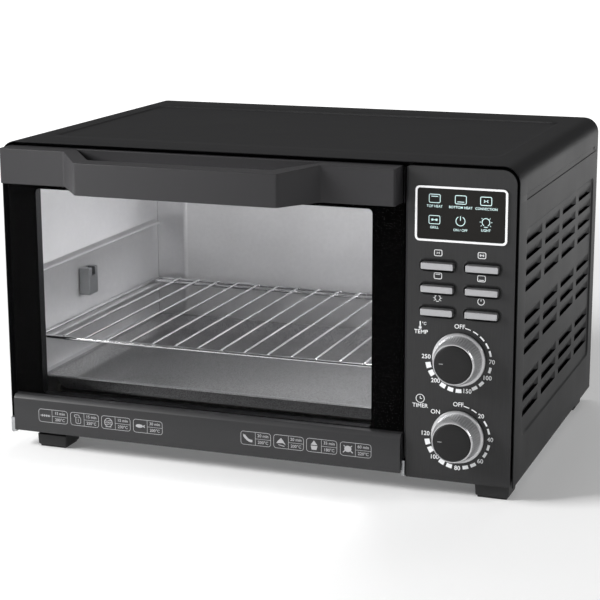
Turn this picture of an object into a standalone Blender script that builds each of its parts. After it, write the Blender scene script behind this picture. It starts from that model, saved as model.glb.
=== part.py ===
"""Countertop toaster oven with a drop-down glass door, a wire rack, a baking tray and a side control panel.

The origin is on the table, under the middle of the oven. +X is to the right, +Y to the back, +Z up.
Pieces are placed under the empty "oven_frame": its y = 0 is the casing's front edge and its z = 0 the
casing's bottom edge, so nearly every size below is measured from there.
"""

import math

import bmesh
import bpy
from mathutils import Matrix, Vector

# Casing
SHELL_WIDTH = 0.500
SHELL_HEIGHT = 0.2865
SHELL_DEPTH = 0.348
SHELL_RADIUS = 0.015
SHEET = 0.001
FOOT_HEIGHT = 0.0135
HANDLE_REACH = 0.056
GLAND_REACH = 0.008
FRONT_Y = (HANDLE_REACH - SHELL_DEPTH - GLAND_REACH) / 2
GAP = 0.0003

# Louvres in the casing's sides: a grid with two empty rows
LOUVRE_LENGTH = 0.056
LOUVRE_OPENING = 0.0042
LOUVRE_FIRST_Y = 0.0355
LOUVRE_PITCH_Y = 0.0745
LOUVRE_TOP_Z = 0.2175
LOUVRE_PITCH_Z = 0.0143
LOUVRE_ROWS = (0, 1, 2, 3, 5, 6, 7, 9, 10, 11)

# Cavity, inner faces
CAVITY_LEFT = -0.238
CAVITY_RIGHT = 0.134
CAVITY_FLOOR = 0.020
CAVITY_CEILING = 0.268
CAVITY_FRONT = 0.0163
CAVITY_BACK = 0.318
LINER = 0.0008
FRAME_FRONT = 0.015

# Door, closed
DOOR_LEFT = -0.2453
DOOR_RIGHT = 0.1480
DOOR_MIDDLE = (DOOR_LEFT + DOOR_RIGHT) / 2
HINGE_Y = 0.0
HINGE_Z = 0.009
PIN_RADIUS = 0.002
TRIM_FRONT = -0.008
TRIM_BACK = 0.003
LOWER_TRIM = (0.005, 0.0408)
GLASS_Y = (-0.001, 0.003)
GLASS_Z = (0.0411, 0.2492)
HANDLE_Z = (0.2495, 0.2825)
BAR_Z = (0.2486, 0.2782)
BLOCK_Y = -0.021
HALF_GRIP = 0.0987
WINDOW_X = (-0.2165, 0.1174)
WINDOW_Z = (0.0414, 0.2420)
DOOR_FRAME_Y = (0.0034, 0.013)
DOOR_FRAME_Z = (0.018, 0.281)
ARM_RADIUS = 0.060

# Shelves and what stands on them
RACK_X = (-0.2355, 0.1315)
RACK_Y = (0.030, 0.306)
RACK_Z = 0.0910
RACK_FRAME_WIRE = 0.0019
RACK_CROSS_WIRE = 0.0011
RACK_WIRE_COUNT = 16
RACK_WIRE_PITCH = 0.0237
TRAY_X = (-0.230, 0.126)
TRAY_RIM_Z = 0.052
TRAY_DEPTH = 0.0155
RAIL_REACH = 0.011
RAIL_HEIGHT = 0.005
RAIL_TOPS = (TRAY_RIM_Z - 0.0008, RACK_Z - RACK_FRAME_WIRE - GAP, 0.1575)

# Heating, fan, spit drive and lamp
HEATER_RADIUS = 0.00325
HEATER_Y = (0.075, 0.235)
HEATER_Z = {"lower": 0.027, "upper": 0.255}
FAN_AT = (0.225, 0.165)
FAN_RADIUS = 0.034
SPIT_AT = (0.135, 0.135)
LAMP_AT = (0.155, 0.225)

# Control panel and its controls
PANEL_X = (0.1515, 0.2476)
PANEL_Z = (0.0008, 0.2832)
PANEL_FRONT = -0.002
PANEL_WALL = 0.0025
BEZEL_X = (0.1583, 0.2404)
BEZEL_Z = (0.2181, 0.2668)
BEZEL_WIDTH = 0.002
BUTTON_X = (0.1793, 0.2193)
BUTTON_Z = (0.1967, 0.1761, 0.1555)
BUTTON_SIZE = (0.029, 0.0060)
BUTTON_REACH = 0.0052
BUTTON_TRAVEL = 0.0025
WELL_SIZE = (0.0336, 0.0112)
KNOB_X = 0.1996
KNOB_Z = {"temperature": 0.1141, "timer": 0.0434}
KNOB_RADIUS = 0.0240
KNOB_HEIGHT = 0.020
CAP_RADIUS = 0.0170
SHAFT_RADIUS = 0.003

BUTTON_NAMES = (
    ("convection_button", "rotisserie_button"),
    ("top_heat_button", "bottom_heat_button"),
    ("light_button", "power_button"),
)


def clear_scene():
    for obj in list(bpy.data.objects):
        bpy.data.objects.remove(obj, do_unlink=True)


def collection(name):
    made = bpy.data.collections.new(name)
    bpy.context.scene.collection.children.link(made)
    return made


def material(name, colour, roughness, metallic=0.0, alpha=1.0, emission=0.0):
    made = bpy.data.materials.new(name)
    made.use_nodes = True
    shader = made.node_tree.nodes["Principled BSDF"]
    shader.inputs["Base Color"].default_value = (*colour, 1)
    shader.inputs["Roughness"].default_value = roughness
    shader.inputs["Metallic"].default_value = metallic
    shader.inputs["Alpha"].default_value = alpha
    made.diffuse_color = (*colour, alpha)
    return made


def place(name, mesh_data, finish, parent, at=(0, 0, 0), turn=(0, 0, 0)):
    """One piece of the oven: an object in the oven's collection, placed under its parent."""
    obj = bpy.data.objects.new(name, mesh_data)
    OVEN.objects.link(obj)
    obj.parent = parent
    obj.location = at
    obj.rotation_euler = turn
    if finish:
        mesh_data.materials.append(finish)
    return obj


def as_helper(obj):
    """Turns an object into a Boolean's helper, which isn't a piece of the oven."""
    OVEN.objects.unlink(obj)
    HELPERS.objects.link(obj)
    obj.hide_render = True
    obj.display_type = "WIRE"
    return obj


def finished_mesh(name, mesh):
    bmesh.ops.recalc_face_normals(mesh, faces=mesh.faces)
    made = bpy.data.meshes.new(name)
    mesh.to_mesh(made)
    mesh.free()
    return made


def box(name, x, y, z, finish, parent, bevel=0.0):
    """A box between two limits on each axis, with its edges rounded if bevel is given."""
    mesh = bmesh.new()
    size = Vector((x[1] - x[0], y[1] - y[0], z[1] - z[0]))
    bmesh.ops.create_cube(mesh, size=1, matrix=Matrix.Diagonal((*size, 1)))
    middle = Vector((sum(x), sum(y), sum(z))) / 2
    obj = place(name, finished_mesh(name, mesh), finish, parent, middle)
    if bevel:
        rounding = obj.modifiers.new("rounding", "BEVEL")
        rounding.width = bevel
        rounding.segments = 2
    return obj


def boxes(name, limits, parent):
    """Several boxes in one helper, for cutting them all at once."""
    mesh = bmesh.new()
    for x, y, z in limits:
        size = (x[1] - x[0], y[1] - y[0], z[1] - z[0])
        middle = Vector((sum(x), sum(y), sum(z))) / 2
        matrix = Matrix.Translation(middle) @ Matrix.Diagonal((*size, 1))
        bmesh.ops.create_cube(mesh, size=1, matrix=matrix)
    return as_helper(place(name, finished_mesh(name, mesh), None, parent))


def cylinder(name, radius, start, length, axis, finish, parent, sides=24):
    """A round bar that starts at a point and runs along +X or +Y."""
    mesh = bmesh.new()
    bmesh.ops.create_cone(
        mesh, cap_ends=True, segments=sides, radius1=radius, radius2=radius, depth=length
    )
    bmesh.ops.translate(mesh, verts=mesh.verts, vec=(0, 0, length / 2))
    data = finished_mesh(name, mesh)
    smooth(data)
    turn = {"X": (0, math.pi / 2, 0), "Y": (-math.pi / 2, 0, 0)}[axis]
    return place(name, data, finish, parent, start, turn)


def smooth(data, angle=35):
    data.shade_smooth()
    data.set_sharp_from_angle(angle=math.radians(angle))


def prism(name, outline, axis, low, high, finish, parent, at=(0, 0, 0)):
    """A flat outline made solid along one axis. The outline is in the other two axes, in X, Y, Z order."""
    spot = {
        "X": lambda u, v: (low, u, v),
        "Y": lambda u, v: (u, low, v),
        "Z": lambda u, v: (u, v, low),
    }[axis]
    mesh = bmesh.new()
    face = mesh.faces.new([mesh.verts.new(spot(u, v)) for u, v in outline])
    grown = bmesh.ops.extrude_face_region(mesh, geom=[face])["geom"]
    step = Vector([(high - low) * (axis == name_of_axis) for name_of_axis in "XYZ"])
    bmesh.ops.translate(mesh, verts=[v for v in grown if isinstance(v, bmesh.types.BMVert)], vec=step)
    return place(name, finished_mesh(name, mesh), finish, parent, at)


def arc(u, v, radius, start, end, steps):
    """Points of an arc, from one angle to another in degrees."""
    angles = [math.radians(start + (end - start) * i / steps) for i in range(steps + 1)]
    return [(u + radius * math.cos(a), v + radius * math.sin(a)) for a in angles]


def turned(name, profile, finish, parent, at, turn, steps=32):
    """A turned piece: a profile of (radius, height) points, from its top to its bottom, swept round its axis."""
    mesh = bmesh.new()
    points = [mesh.verts.new((radius, 0, height)) for radius, height in profile]
    for first, second in zip(points, points[1:]):
        mesh.edges.new((first, second))
    data = bpy.data.meshes.new(name)
    mesh.to_mesh(data)
    mesh.free()
    obj = place(name, data, finish, parent, at, turn)
    sweep = obj.modifiers.new("sweep", "SCREW")
    sweep.steps = sweep.render_steps = steps
    sweep.use_merge_vertices = True
    sweep.merge_threshold = 0.00005
    return obj


def wire(name, points, radius, finish, parent, closed=False, resolution=2):
    """A round wire along straight runs between points."""
    curve = bpy.data.curves.new(name, "CURVE")
    curve.dimensions = "3D"
    curve.bevel_depth = radius
    curve.bevel_resolution = resolution
    curve.use_fill_caps = not closed
    spline = curve.splines.new("POLY")
    spline.points.add(len(points) - 1)
    for spot, point in zip(spline.points, points):
        spot.co = (*point, 1)
    spline.use_cyclic_u = closed
    return place(name, curve, finish, parent)


def meshed(obj):
    """The same wire as a mesh with welded caps, for a Boolean."""
    bpy.context.view_layer.update()
    seen = obj.evaluated_get(bpy.context.evaluated_depsgraph_get())
    data = bpy.data.meshes.new_from_object(seen)
    mesh = bmesh.new()
    mesh.from_mesh(data)
    bmesh.ops.remove_doubles(mesh, verts=mesh.verts, dist=0.00001)
    mesh.to_mesh(data)
    mesh.free()
    name, parent, matrix = obj.name, obj.parent, obj.matrix_local.copy()
    bpy.data.objects.remove(obj, do_unlink=True)
    made = bpy.data.objects.new(name, data)
    OVEN.objects.link(made)
    made.parent = parent
    made.matrix_local = matrix
    return made


def combine(obj, operation, helper):
    step = obj.modifiers.new(helper.name, "BOOLEAN")
    step.operation = operation
    step.object = helper
    return obj


def cut(obj, *helpers):
    for helper in helpers:
        if helper.name not in HELPERS.objects:
            as_helper(helper)
        combine(obj, "DIFFERENCE", helper)
    return obj


def unite(obj, *helpers):
    for helper in helpers:
        if helper.name not in HELPERS.objects:
            as_helper(helper)
        combine(obj, "UNION", helper)
    return obj


def around(middle, size):
    return (middle - size / 2, middle + size / 2)


FACING_FRONT = (math.pi / 2, 0, 0)
FACING_LEFT = (0, -math.pi / 2, 0)
FACING_RIGHT = (0, math.pi / 2, 0)
FACING_BACK = (-math.pi / 2, 0, 0)


def arch(half_width, height, radius, bottom=0.0):
    """The casing's front view: straight sides and a flat top with two rounded corners, left to right."""
    return [
        (-half_width, bottom),
        *arc(-half_width + radius, height - radius, radius, 180, 90, 6),
        *arc(half_width - radius, height - radius, radius, 90, 0, 6),
        (half_width, bottom),
    ]


def louvre_slots(frame, half_width):
    limits = []
    for column in range(4):
        start = LOUVRE_FIRST_Y + LOUVRE_PITCH_Y * column
        for row in LOUVRE_ROWS:
            z = around(LOUVRE_TOP_Z - LOUVRE_PITCH_Z * row, LOUVRE_OPENING)
            limits.append(((-half_width, half_width), (start, start + LOUVRE_LENGTH), z))
    return boxes("louvre_cutter", limits, frame)


def make_casing(frame):
    """The wrap over the sides and top, the panels that close it, the front sheet and the feet."""
    half = SHELL_WIDTH / 2
    inner = arch(half - SHEET, SHELL_HEIGHT - SHEET, SHELL_RADIUS - SHEET)
    outer = arch(half, SHELL_HEIGHT, SHELL_RADIUS)
    shell = prism("outer_shell", outer + inner[::-1], "Y", 0, SHELL_DEPTH, COAT, frame)
    cut(shell, louvre_slots(frame, half + 0.01))

    side = half - SHEET - GAP
    box("bottom_panel", (-side, side), (0.0163, 0.3440), (GAP, GAP + SHEET), STEEL, frame)

    outline = arch(side, SHELL_HEIGHT - SHEET - GAP, SHELL_RADIUS - SHEET, GAP)
    rear = prism("rear_panel", outline, "Y", 0.3450, 0.3460, COAT, frame)
    slots = [
        (around(-0.05 + 0.034 * column, 0.026), (0.34, 0.35), around(0.06 + 0.013 * row, 0.004))
        for column in range(-4, 5)
        for row in range(4)
    ]
    cut(rear, boxes("rear_slot_cutter", slots, frame))
    hole = cylinder("gland_cutter", 0.0068, (0.190, 0.34, 0.035), 0.02, "Y", None, frame)
    cut(rear, hole)

    front = prism("front_frame", outline, "Y", FRAME_FRONT, FRAME_FRONT + SHEET, STEEL, frame)
    pillar = box("pillar", (0.1492, 0.1509), (0.0006, 0.0155), (0.0180, 0.2820), None, frame)
    unite(front, pillar)
    mouth = ((CAVITY_LEFT, CAVITY_RIGHT), (0.01, 0.02), (CAVITY_FLOOR, CAVITY_CEILING))
    arm_slots = [(around(x, 0.0036), (0.01, 0.02), (0.056, 0.078)) for x in arm_places()]
    cut(front, boxes("mouth_cutter", [mouth, *arm_slots], frame))
    for name, z in KNOB_Z.items():
        hole = cylinder(name + "_frame_hole", 0.005, (KNOB_X, 0.01, z), 0.01, "Y", None, frame)
        cut(front, hole)

    make_feet(frame)
    profile = [(0, 0.010), (0.0045, 0.010), (0.0085, 0.0085), (0.0085, 0.0023), (0.0062, 0.0023)]
    profile += [(0.0062, -0.008), (0, -0.008)]
    turned("cord_gland", profile, RUBBER, frame, (0.190, 0.3460, 0.035), FACING_BACK, 24)


def make_feet(frame):
    """Four plastic blocks that narrow a little towards the table."""
    for side, x in (("left", -0.2094), ("right", 0.2298)):
        for end, y in (("front", 0.0185), ("rear", 0.3100)):
            foot = box(
                f"{side}_{end}_foot", around(x, 0.0315), around(y, 0.029), (-FOOT_HEIGHT, 0), RUBBER, frame
            )
            for vertex in foot.data.vertices:
                if vertex.co.z < 0:
                    vertex.co.x *= 0.97
                    vertex.co.y *= 0.97


def rails(name, side, back, frame):
    """The pressed ledges of one side wall, joined into one helper."""
    limits = []
    for level, top in enumerate(RAIL_TOPS):
        reach = (side, side + math.copysign(RAIL_REACH, -side - 0.05))
        end = back if level == 2 else CAVITY_BACK - 0.010
        limits.append((sorted(reach), (CAVITY_FRONT + 0.003, end), (top - RAIL_HEIGHT, top)))
    return boxes(name, limits, frame)


def heater_holes(frame):
    limits = []
    for z in HEATER_Z.values():
        for y in HEATER_Y:
            limits.append(((-0.26, 0.16), around(y, 0.0076), around(z, 0.0076)))
    return boxes("heater_cutter", limits, frame)


def make_cavity(frame):
    """The bright liner: five sheets, with ledges for the rack and the tray on the side walls."""
    holes = heater_holes(frame)
    deep = (CAVITY_FRONT, CAVITY_BACK)
    tall = (CAVITY_FLOOR + GAP, CAVITY_CEILING)
    wide = (CAVITY_LEFT - LINER, CAVITY_RIGHT + LINER)

    left = box("cavity_left_wall", (CAVITY_LEFT - LINER, CAVITY_LEFT), deep, tall, LINING, frame)
    unite(left, rails("left_rails", CAVITY_LEFT - 0.0003, CAVITY_BACK - 0.010, frame))
    cut(left, holes)

    right = box("cavity_right_wall", (CAVITY_RIGHT, CAVITY_RIGHT + LINER), deep, tall, LINING, frame)
    unite(right, rails("right_rails", CAVITY_RIGHT + 0.0003, 0.165, frame))
    cut(right, holes)
    for name, radius, (y, z) in (("fan", 0.006, FAN_AT), ("spit", 0.0065, SPIT_AT), ("lamp", 0.0135, LAMP_AT)):
        start = (CAVITY_RIGHT - 0.01, y, z)
        cut(right, cylinder(name + "_wall_hole", radius, start, 0.02, "X", None, frame))

    floor = (CAVITY_LEFT + GAP, CAVITY_RIGHT - GAP)
    box("cavity_floor", floor, deep, (CAVITY_FLOOR - LINER, CAVITY_FLOOR), LINING, frame)
    above = (CAVITY_CEILING + GAP, CAVITY_CEILING + GAP + LINER)
    box("cavity_ceiling", wide, deep, above, LINING, frame)
    behind = (CAVITY_BACK + GAP, CAVITY_BACK + GAP + LINER)
    box("cavity_back_wall", wide, behind, (CAVITY_FLOOR - LINER, above[1]), LINING, frame)

    for level, z in HEATER_Z.items():
        for place_name, y in zip(("front", "rear"), HEATER_Y):
            name = f"{level}_{place_name}_heater"
            cylinder(name, HEATER_RADIUS, (-0.246, y, z), 0.396, "X", HEATER, frame, 16)


def make_right_wall_gear(frame):
    """The convection fan under its cover, the spit drive and the lamp, all on the cavity's right wall."""
    wall = CAVITY_RIGHT
    y, z = FAN_AT
    inside = (wall - GAP, y, z)
    profile = [(0, 0.0160), (0.030, 0.0160), (0.038, 0.0130), (0.040, 0.0010), (0.045, 0.0010), (0.045, 0)]
    profile += [(0.0392, 0), (0.0372, 0.0122), (0.0298, 0.0150), (0, 0.0150)]
    cover = turned("fan_cover", profile, LINING, frame, inside, FACING_LEFT)
    slots = [
        ((wall - 0.02, wall - 0.012), around(y, 0.046 - 0.014 * abs(row) ** 1.3), around(z + 0.010 * row, 0.004))
        for row in range(-2, 3)
    ]
    cut(cover, boxes("fan_cover_cutter", slots, frame))

    fan = bpy.data.objects.new("fan_axis", None)
    OVEN.objects.link(fan)
    fan.parent = frame
    fan.location = (wall, y, z)
    hub = cylinder("convection_fan", 0.008, (-0.0125, 0, 0), 0.0090, "X", LINING, fan, 20)
    for blade in range(6):
        vane = box(f"vane_{blade}", around(-0.0080, 0.0070), around(0, 0.0012), (0.005, FAN_RADIUS), None, fan)
        vane.location = (-0.0080, 0, 0)
        vane.data.transform(Matrix.Translation((0, 0, (0.005 + FAN_RADIUS) / 2)))
        vane.rotation_euler = (math.tau * blade / 6, 0, 0)
        unite(hub, vane)
    unite(hub, cylinder("fan_spindle", 0.0025, (-0.0060, 0, 0), 0.0080, "X", None, fan, 12))

    profile = [(0, 0.030), (0.018, 0.030), (0.026, 0.024), (0.026, 0), (0.0032, 0), (0.0032, 0.003), (0, 0.003)]
    shift = wall + LINER + GAP
    turned("fan_motor", [(r, h) for r, h in profile], STEEL, frame, (shift, y, z), FACING_RIGHT, 28)

    y, z = SPIT_AT
    profile = [(0, 0.009), (0.0055, 0.009), (0.0075, 0.0075), (0.0075, 0.0004), (0.0052, 0.0004)]
    profile += [(0.0052, -0.0035), (0, -0.0035)]
    socket = turned("spit_socket", profile, STEEL, frame, (wall, y, z), FACING_LEFT, 24)
    drive = around(y, 0.0042), around(z, 0.0042)
    cut(socket, boxes("spit_square_cutter", [((wall - 0.02, wall - 0.002), *drive)], frame))
    spit_motor = (shift + 0.003, shift + 0.025), around(y, 0.046), around(z, 0.050)
    box("spit_motor", *spit_motor, STEEL, frame, 0.002)
    rest = (CAVITY_LEFT + GAP, CAVITY_LEFT + 0.012), around(y, 0.020), (z - 0.024, z + 0.004)
    cradle = box("spit_rest", *rest, STEEL, frame, 0.001)
    notch = (CAVITY_LEFT + 0.004, CAVITY_LEFT + 0.02), around(y, 0.007), (z - 0.004, z + 0.01)
    cut(cradle, boxes("spit_rest_cutter", [notch], frame))

    y, z = LAMP_AT
    profile = [(0, 0.013), (0.009, 0.0115), (0.0145, 0.0070), (0.016, 0.0018), (0.019, 0.0018), (0.019, 0)]
    profile += [(0.0145, 0), (0.0128, 0.0062), (0.008, 0.0100), (0, 0.0112)]
    turned("lamp_glass", profile, GLASS, frame, inside_of(wall, LAMP_AT), FACING_LEFT, 24)
    profile = [(0, 0.0085), (0.0035, 0.0075), (0.0055, 0.004), (0.0055, -0.004), (0.0040, -0.009), (0, -0.009)]
    turned("lamp_bulb", profile, GLASS, frame, (wall, y, z), FACING_LEFT, 20)
    profile = [(0, 0.026), (0.010, 0.026), (0.014, 0.020), (0.014, 0), (0.0075, 0), (0.0075, 0.009), (0, 0.009)]
    turned("lamp_holder", profile, CERAMIC, frame, (shift, y, z), FACING_RIGHT, 24)


def inside_of(wall, spot):
    return (wall - GAP, *spot)


def arm_places():
    """Where the door's two guide arms are, from left to right."""
    return (-0.2433, 0.1463)


def make_door(frame):
    """The door, under an empty on its hinge axis: glass between two trims, a pressed steel frame and its pins."""
    door = bpy.data.objects.new("door_axis", None)
    OVEN.objects.link(door)
    door.parent = frame
    door.location = (0, HINGE_Y, HINGE_Z)
    origin = -Vector(door.location)

    def pair(limits, offset):
        return (limits[0] + offset, limits[1] + offset)

    glass = (DOOR_LEFT, DOOR_RIGHT - 0.0002)
    box("door_glass", glass, pair(GLASS_Y, origin.y), pair(GLASS_Z, origin.z), GLASS, door)

    low, high = LOWER_TRIM
    outline = [
        (TRIM_FRONT, low),
        (TRIM_FRONT, high - 0.0040),
        (TRIM_FRONT + 0.0036, high),
        (TRIM_BACK, high),
        (TRIM_BACK, low),
    ]
    ends = (DOOR_LEFT + 0.0023, DOOR_RIGHT + 0.0002)
    trim = prism("door_lower_trim", outline, "X", *ends, BAND, door, origin)
    for side, (pin_start, notch) in {
        "left": (ends[0] - 0.0053, (ends[0] - 0.001, ends[0] + 0.0066)),
        "right": (ends[1] - 0.0128, (ends[1] - 0.0066, ends[1] + 0.001)),
    }.items():
        pin_length = 0.0181 if side == "left" else 0.0156
        bore = cylinder(side + "_bore", PIN_RADIUS + GAP, (pin_start - 0.001, 0, 0), 0.0201, "X", None, door)
        pocket = boxes(side + "_pocket", [(notch, (-0.0042, 0.02), (-0.02, 0.0042))], door)
        cut(trim, bore, pocket)
        cylinder(f"{side}_hinge_pin", PIN_RADIUS, (pin_start, 0, 0), pin_length, "X", STEEL, door, 20)

    make_handle(door, origin)

    across = (DOOR_LEFT + 0.0008, DOOR_RIGHT - 0.0008)
    inner = box("door_inner_frame", across, pair(DOOR_FRAME_Y, origin.y), pair(DOOR_FRAME_Z, origin.z), STEEL, door)
    window = (WINDOW_X, (-0.01, 0.03), pair(WINDOW_Z, origin.z))
    channel = [(DOOR_LEFT + 0.0018, DOOR_RIGHT - 0.0018), (0, DOOR_FRAME_Y[1] - 0.001 + origin.y)]
    channel += [(DOOR_FRAME_Z[0] + 0.001 + origin.z, DOOR_FRAME_Z[1] - 0.001 + origin.z)]
    core = [(WINDOW_X[0] - 0.001, WINDOW_X[1] + 0.001), (-0.01, 0.03)]
    core += [(WINDOW_Z[0] - 0.001 + origin.z, WINDOW_Z[1] + 0.001 + origin.z)]
    hollow = boxes("channel_cutter", [channel], door)
    cut(hollow, boxes("channel_core", [core], door))
    cut(inner, hollow, boxes("window_cutter", [window], door))

    for side, x in zip(("left", "right"), arm_places()):
        tilt = 90 - math.degrees(math.asin((DOOR_FRAME_Y[1] + GAP) / ARM_RADIUS))
        outline = arc(0, 0, ARM_RADIUS + 0.005, tilt - 1.5, -5, 12)
        outline += arc(0, 0, ARM_RADIUS - 0.005, -5, tilt - 1.5, 12)
        prism(f"{side}_door_arm", outline, "X", x - 0.001, x + 0.001, STEEL, door)

    make_hinge_mounts(frame, ends)
    return door


def handle_half():
    """Half of the handle's plan, from its middle out: grip, slanted arm, end block with a nearly square end."""
    grip = HALF_GRIP
    return [
        (grip - 0.0025, -HANDLE_REACH),
        (grip - 0.0005, -HANDLE_REACH + 0.0006),
        (grip + 0.0008, -HANDLE_REACH + 0.0020),
        (grip + 0.0260, BLOCK_Y - 0.0012),
        (grip + 0.0275, BLOCK_Y),
        (0.1916, BLOCK_Y + 0.0002),
        (0.1928, BLOCK_Y + 0.0010),
        (0.1932, BLOCK_Y + 0.0030),
        (0.1932, TRIM_BACK),
    ]


def make_handle(door, origin):
    """The upper trim and the pull handle are one moulding, open behind the grip for the fingers."""
    half = handle_half()
    left = [(-x, y) for x, y in half[::-1]]
    spot = (DOOR_MIDDLE + origin.x, origin.y, origin.z)
    handle = prism("door_handle", left + half, "Z", HANDLE_Z[0], HANDLE_Z[1], HANDLE, door, spot)
    for vertex in handle.data.vertices:
        past = max(0.0, (BLOCK_Y - vertex.co.y) / (BLOCK_Y + HANDLE_REACH))
        high = vertex.co.z > sum(HANDLE_Z) / 2
        vertex.co.z += past * ((BAR_Z[1] - HANDLE_Z[1]) if high else (BAR_Z[0] - HANDLE_Z[0]))
    gap = [(-0.1214, -0.0025), (-0.0874, -0.0440), (0.0874, -0.0440), (0.1214, -0.0025)]
    cut(handle, prism("finger_gap_cutter", gap, "Z", 0.24, 0.29, None, door, spot))


def make_hinge_mounts(frame, ends):
    """Fixed brackets that hold the pins, and the torsion springs round them."""
    high = 0.0160
    deep = (-0.0040, 0.0147)
    for side, x in (("left", (-0.2487, -0.2438)), ("right", (0.1487, 0.1512))):
        bracket = box(f"{side}_hinge_bracket", x, deep, (0.0020, high), STEEL, frame)
        start = (x[0] - 0.001, HINGE_Y, HINGE_Z)
        cut(bracket, cylinder(side + "_bracket_hole", PIN_RADIUS + 0.0004, start, 0.01, "X", None, frame))
    for side, first in (("left", ends[0] + 0.0008), ("right", ends[1] - 0.0058)):
        turns, steps = 4, 12
        points = []
        for i in range(turns * steps + 1):
            angle = math.tau * i / steps
            x = first + 0.0050 * i / (turns * steps)
            points.append((x, HINGE_Y + 0.0031 * math.cos(angle), HINGE_Z + 0.0031 * math.sin(angle)))
        wire(f"{side}_door_spring", points, 0.0005, STEEL, frame, resolution=1)


def make_rack(frame):
    """Chrome wire shelf: a rounded frame, a second wire at the back, and cross wires welded on top."""
    left, right = RACK_X
    front, back = RACK_Y
    corner = 0.010
    loop = [
        *arc(left + corner, front + corner, corner, 180, 270, 4),
        *arc(right - corner, front + corner, corner, 270, 360, 4),
        *arc(right - corner, back - corner, corner, 0, 90, 4),
        *arc(left + corner, back - corner, corner, 90, 180, 4),
    ]
    ring = [(x, y, RACK_Z) for x, y in loop]
    rack = meshed(wire("wire_rack", ring, RACK_FRAME_WIRE, CHROME, frame, closed=True))
    first = (left + right) / 2 - RACK_WIRE_PITCH * (RACK_WIRE_COUNT - 1) / 2
    for i in range(RACK_WIRE_COUNT):
        x = first + RACK_WIRE_PITCH * i
        high = RACK_Z + RACK_FRAME_WIRE + 0.0003
        ends = [(x, front - 0.0009, high), (x, back + 0.0009, high)]
        unite(rack, meshed(wire(f"cross_wire_{i}", ends, RACK_CROSS_WIRE, CHROME, frame)))
    ends = [(left + 0.0004, back - 0.014, RACK_Z), (right - 0.0004, back - 0.014, RACK_Z)]
    unite(rack, meshed(wire("second_wire", ends, 0.0015, CHROME, frame)))


def make_tray(frame):
    """Pressed baking tray: sloping sides and a flat rim that lies on the lowest ledges."""
    mesh = bmesh.new()
    left, right = TRAY_X
    front, back = 0.026, 0.304

    def ring(inset, z):
        spots = [(left + inset, front + inset), (right - inset, front + inset)]
        spots += [(right - inset, back - inset), (left + inset, back - inset)]
        return [mesh.verts.new((x, y, z)) for x, y in spots]

    levels = [ring(0, TRAY_RIM_Z), ring(0.007, TRAY_RIM_Z), ring(0.011, TRAY_RIM_Z - TRAY_DEPTH)]
    for outer, inner in zip(levels, levels[1:]):
        for i in range(4):
            mesh.faces.new((outer[i], outer[i - 3], inner[i - 3], inner[i]))
    mesh.faces.new(levels[-1])
    data = bpy.data.meshes.new("baking_tray")
    mesh.to_mesh(data)
    mesh.free()
    tray = place("baking_tray", data, ENAMEL, frame)
    sheet = tray.modifiers.new("sheet", "SOLIDIFY")
    sheet.thickness = 0.0009
    sheet.offset = 0
    sheet.use_even_offset = True


def make_panel(frame):
    """The control panel: a shallow moulded cover with a framed window, six key wells and two shaft holes."""
    x0, x1 = PANEL_X
    z0, z1 = PANEL_Z
    outline = [(x0, z0), *arc(x1 - 0.002, z0 + 0.002, 0.002, -90, 0, 3)]
    outline += [*arc(x1 - 0.0125, z1 - 0.0125, 0.0125, 0, 90, 6), (x0, z1)]
    panel = prism("control_panel", outline, "Y", PANEL_FRONT, 0.012, FASCIA, frame)
    back = PANEL_FRONT + PANEL_WALL
    rim = 0.0020
    hollow = [(x0 + rim, z0 + rim), (x1 - rim, z0 + rim)]
    hollow += [*arc(x1 - 0.0125, z1 - 0.0125, 0.0105, 0, 90, 6), (x0 + rim, z1 - rim)]
    cut(panel, prism("panel_hollow", hollow, "Y", back, 0.02, None, frame))

    edge = BEZEL_WIDTH - 0.0004
    opening = [((BEZEL_X[0] + edge, BEZEL_X[1] - edge), (-0.01, 0.01), (BEZEL_Z[0] + edge, BEZEL_Z[1] - edge))]
    wells, holes = [], []
    for z in BUTTON_Z:
        for x in BUTTON_X:
            wells.append((around(x, WELL_SIZE[0]), (-0.01, PANEL_FRONT + 0.0010), around(z, WELL_SIZE[1])))
            holes.append((around(x, BUTTON_SIZE[0] + 0.0008), (-0.01, 0.01), around(z, BUTTON_SIZE[1] + 0.0008)))
    cut(panel, boxes("window_opening", opening, frame))
    cut(panel, boxes("key_wells", wells, frame))
    cut(panel, boxes("key_holes", holes, frame))
    for name, z in KNOB_Z.items():
        cut(panel, cylinder(name + "_panel_hole", 0.0045, (KNOB_X, -0.01, z), 0.02, "Y", None, frame))


def make_display(frame):
    """The silver frame round the indicator window, the window itself and the board behind it."""
    radius = 0.0040
    x0, x1 = BEZEL_X
    z0, z1 = BEZEL_Z

    def rounded(inset, r):
        return [
            *arc(x0 + inset + r, z0 + inset + r, r, 180, 270, 4),
            *arc(x1 - inset - r, z0 + inset + r, r, 270, 360, 4),
            *arc(x1 - inset - r, z1 - inset - r, r, 0, 90, 4),
            *arc(x0 + inset + r, z1 - inset - r, r, 90, 180, 4),
        ]

    bezel = prism("display_bezel", rounded(0, radius), "Y", -0.0036, PANEL_FRONT - GAP, SILVER, frame)
    inner = rounded(BEZEL_WIDTH, radius - BEZEL_WIDTH)
    cut(bezel, prism("bezel_cutter", inner, "Y", -0.01, 0.01, None, frame))
    window = rounded(BEZEL_WIDTH + GAP, radius - BEZEL_WIDTH)
    prism("display_window", window, "Y", -0.0029, -0.0009, SMOKED, frame)

    board = box("circuit_board", (0.1570, 0.2420), (0.0090, 0.0106), (0.1450, 0.2720), BOARD, frame)
    switches = [
        (around(x, 0.006), (0.0054, 0.0092), around(z, 0.006)) for z in BUTTON_Z for x in BUTTON_X
    ]
    unite(board, boxes("switch_bodies", switches, frame))


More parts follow.
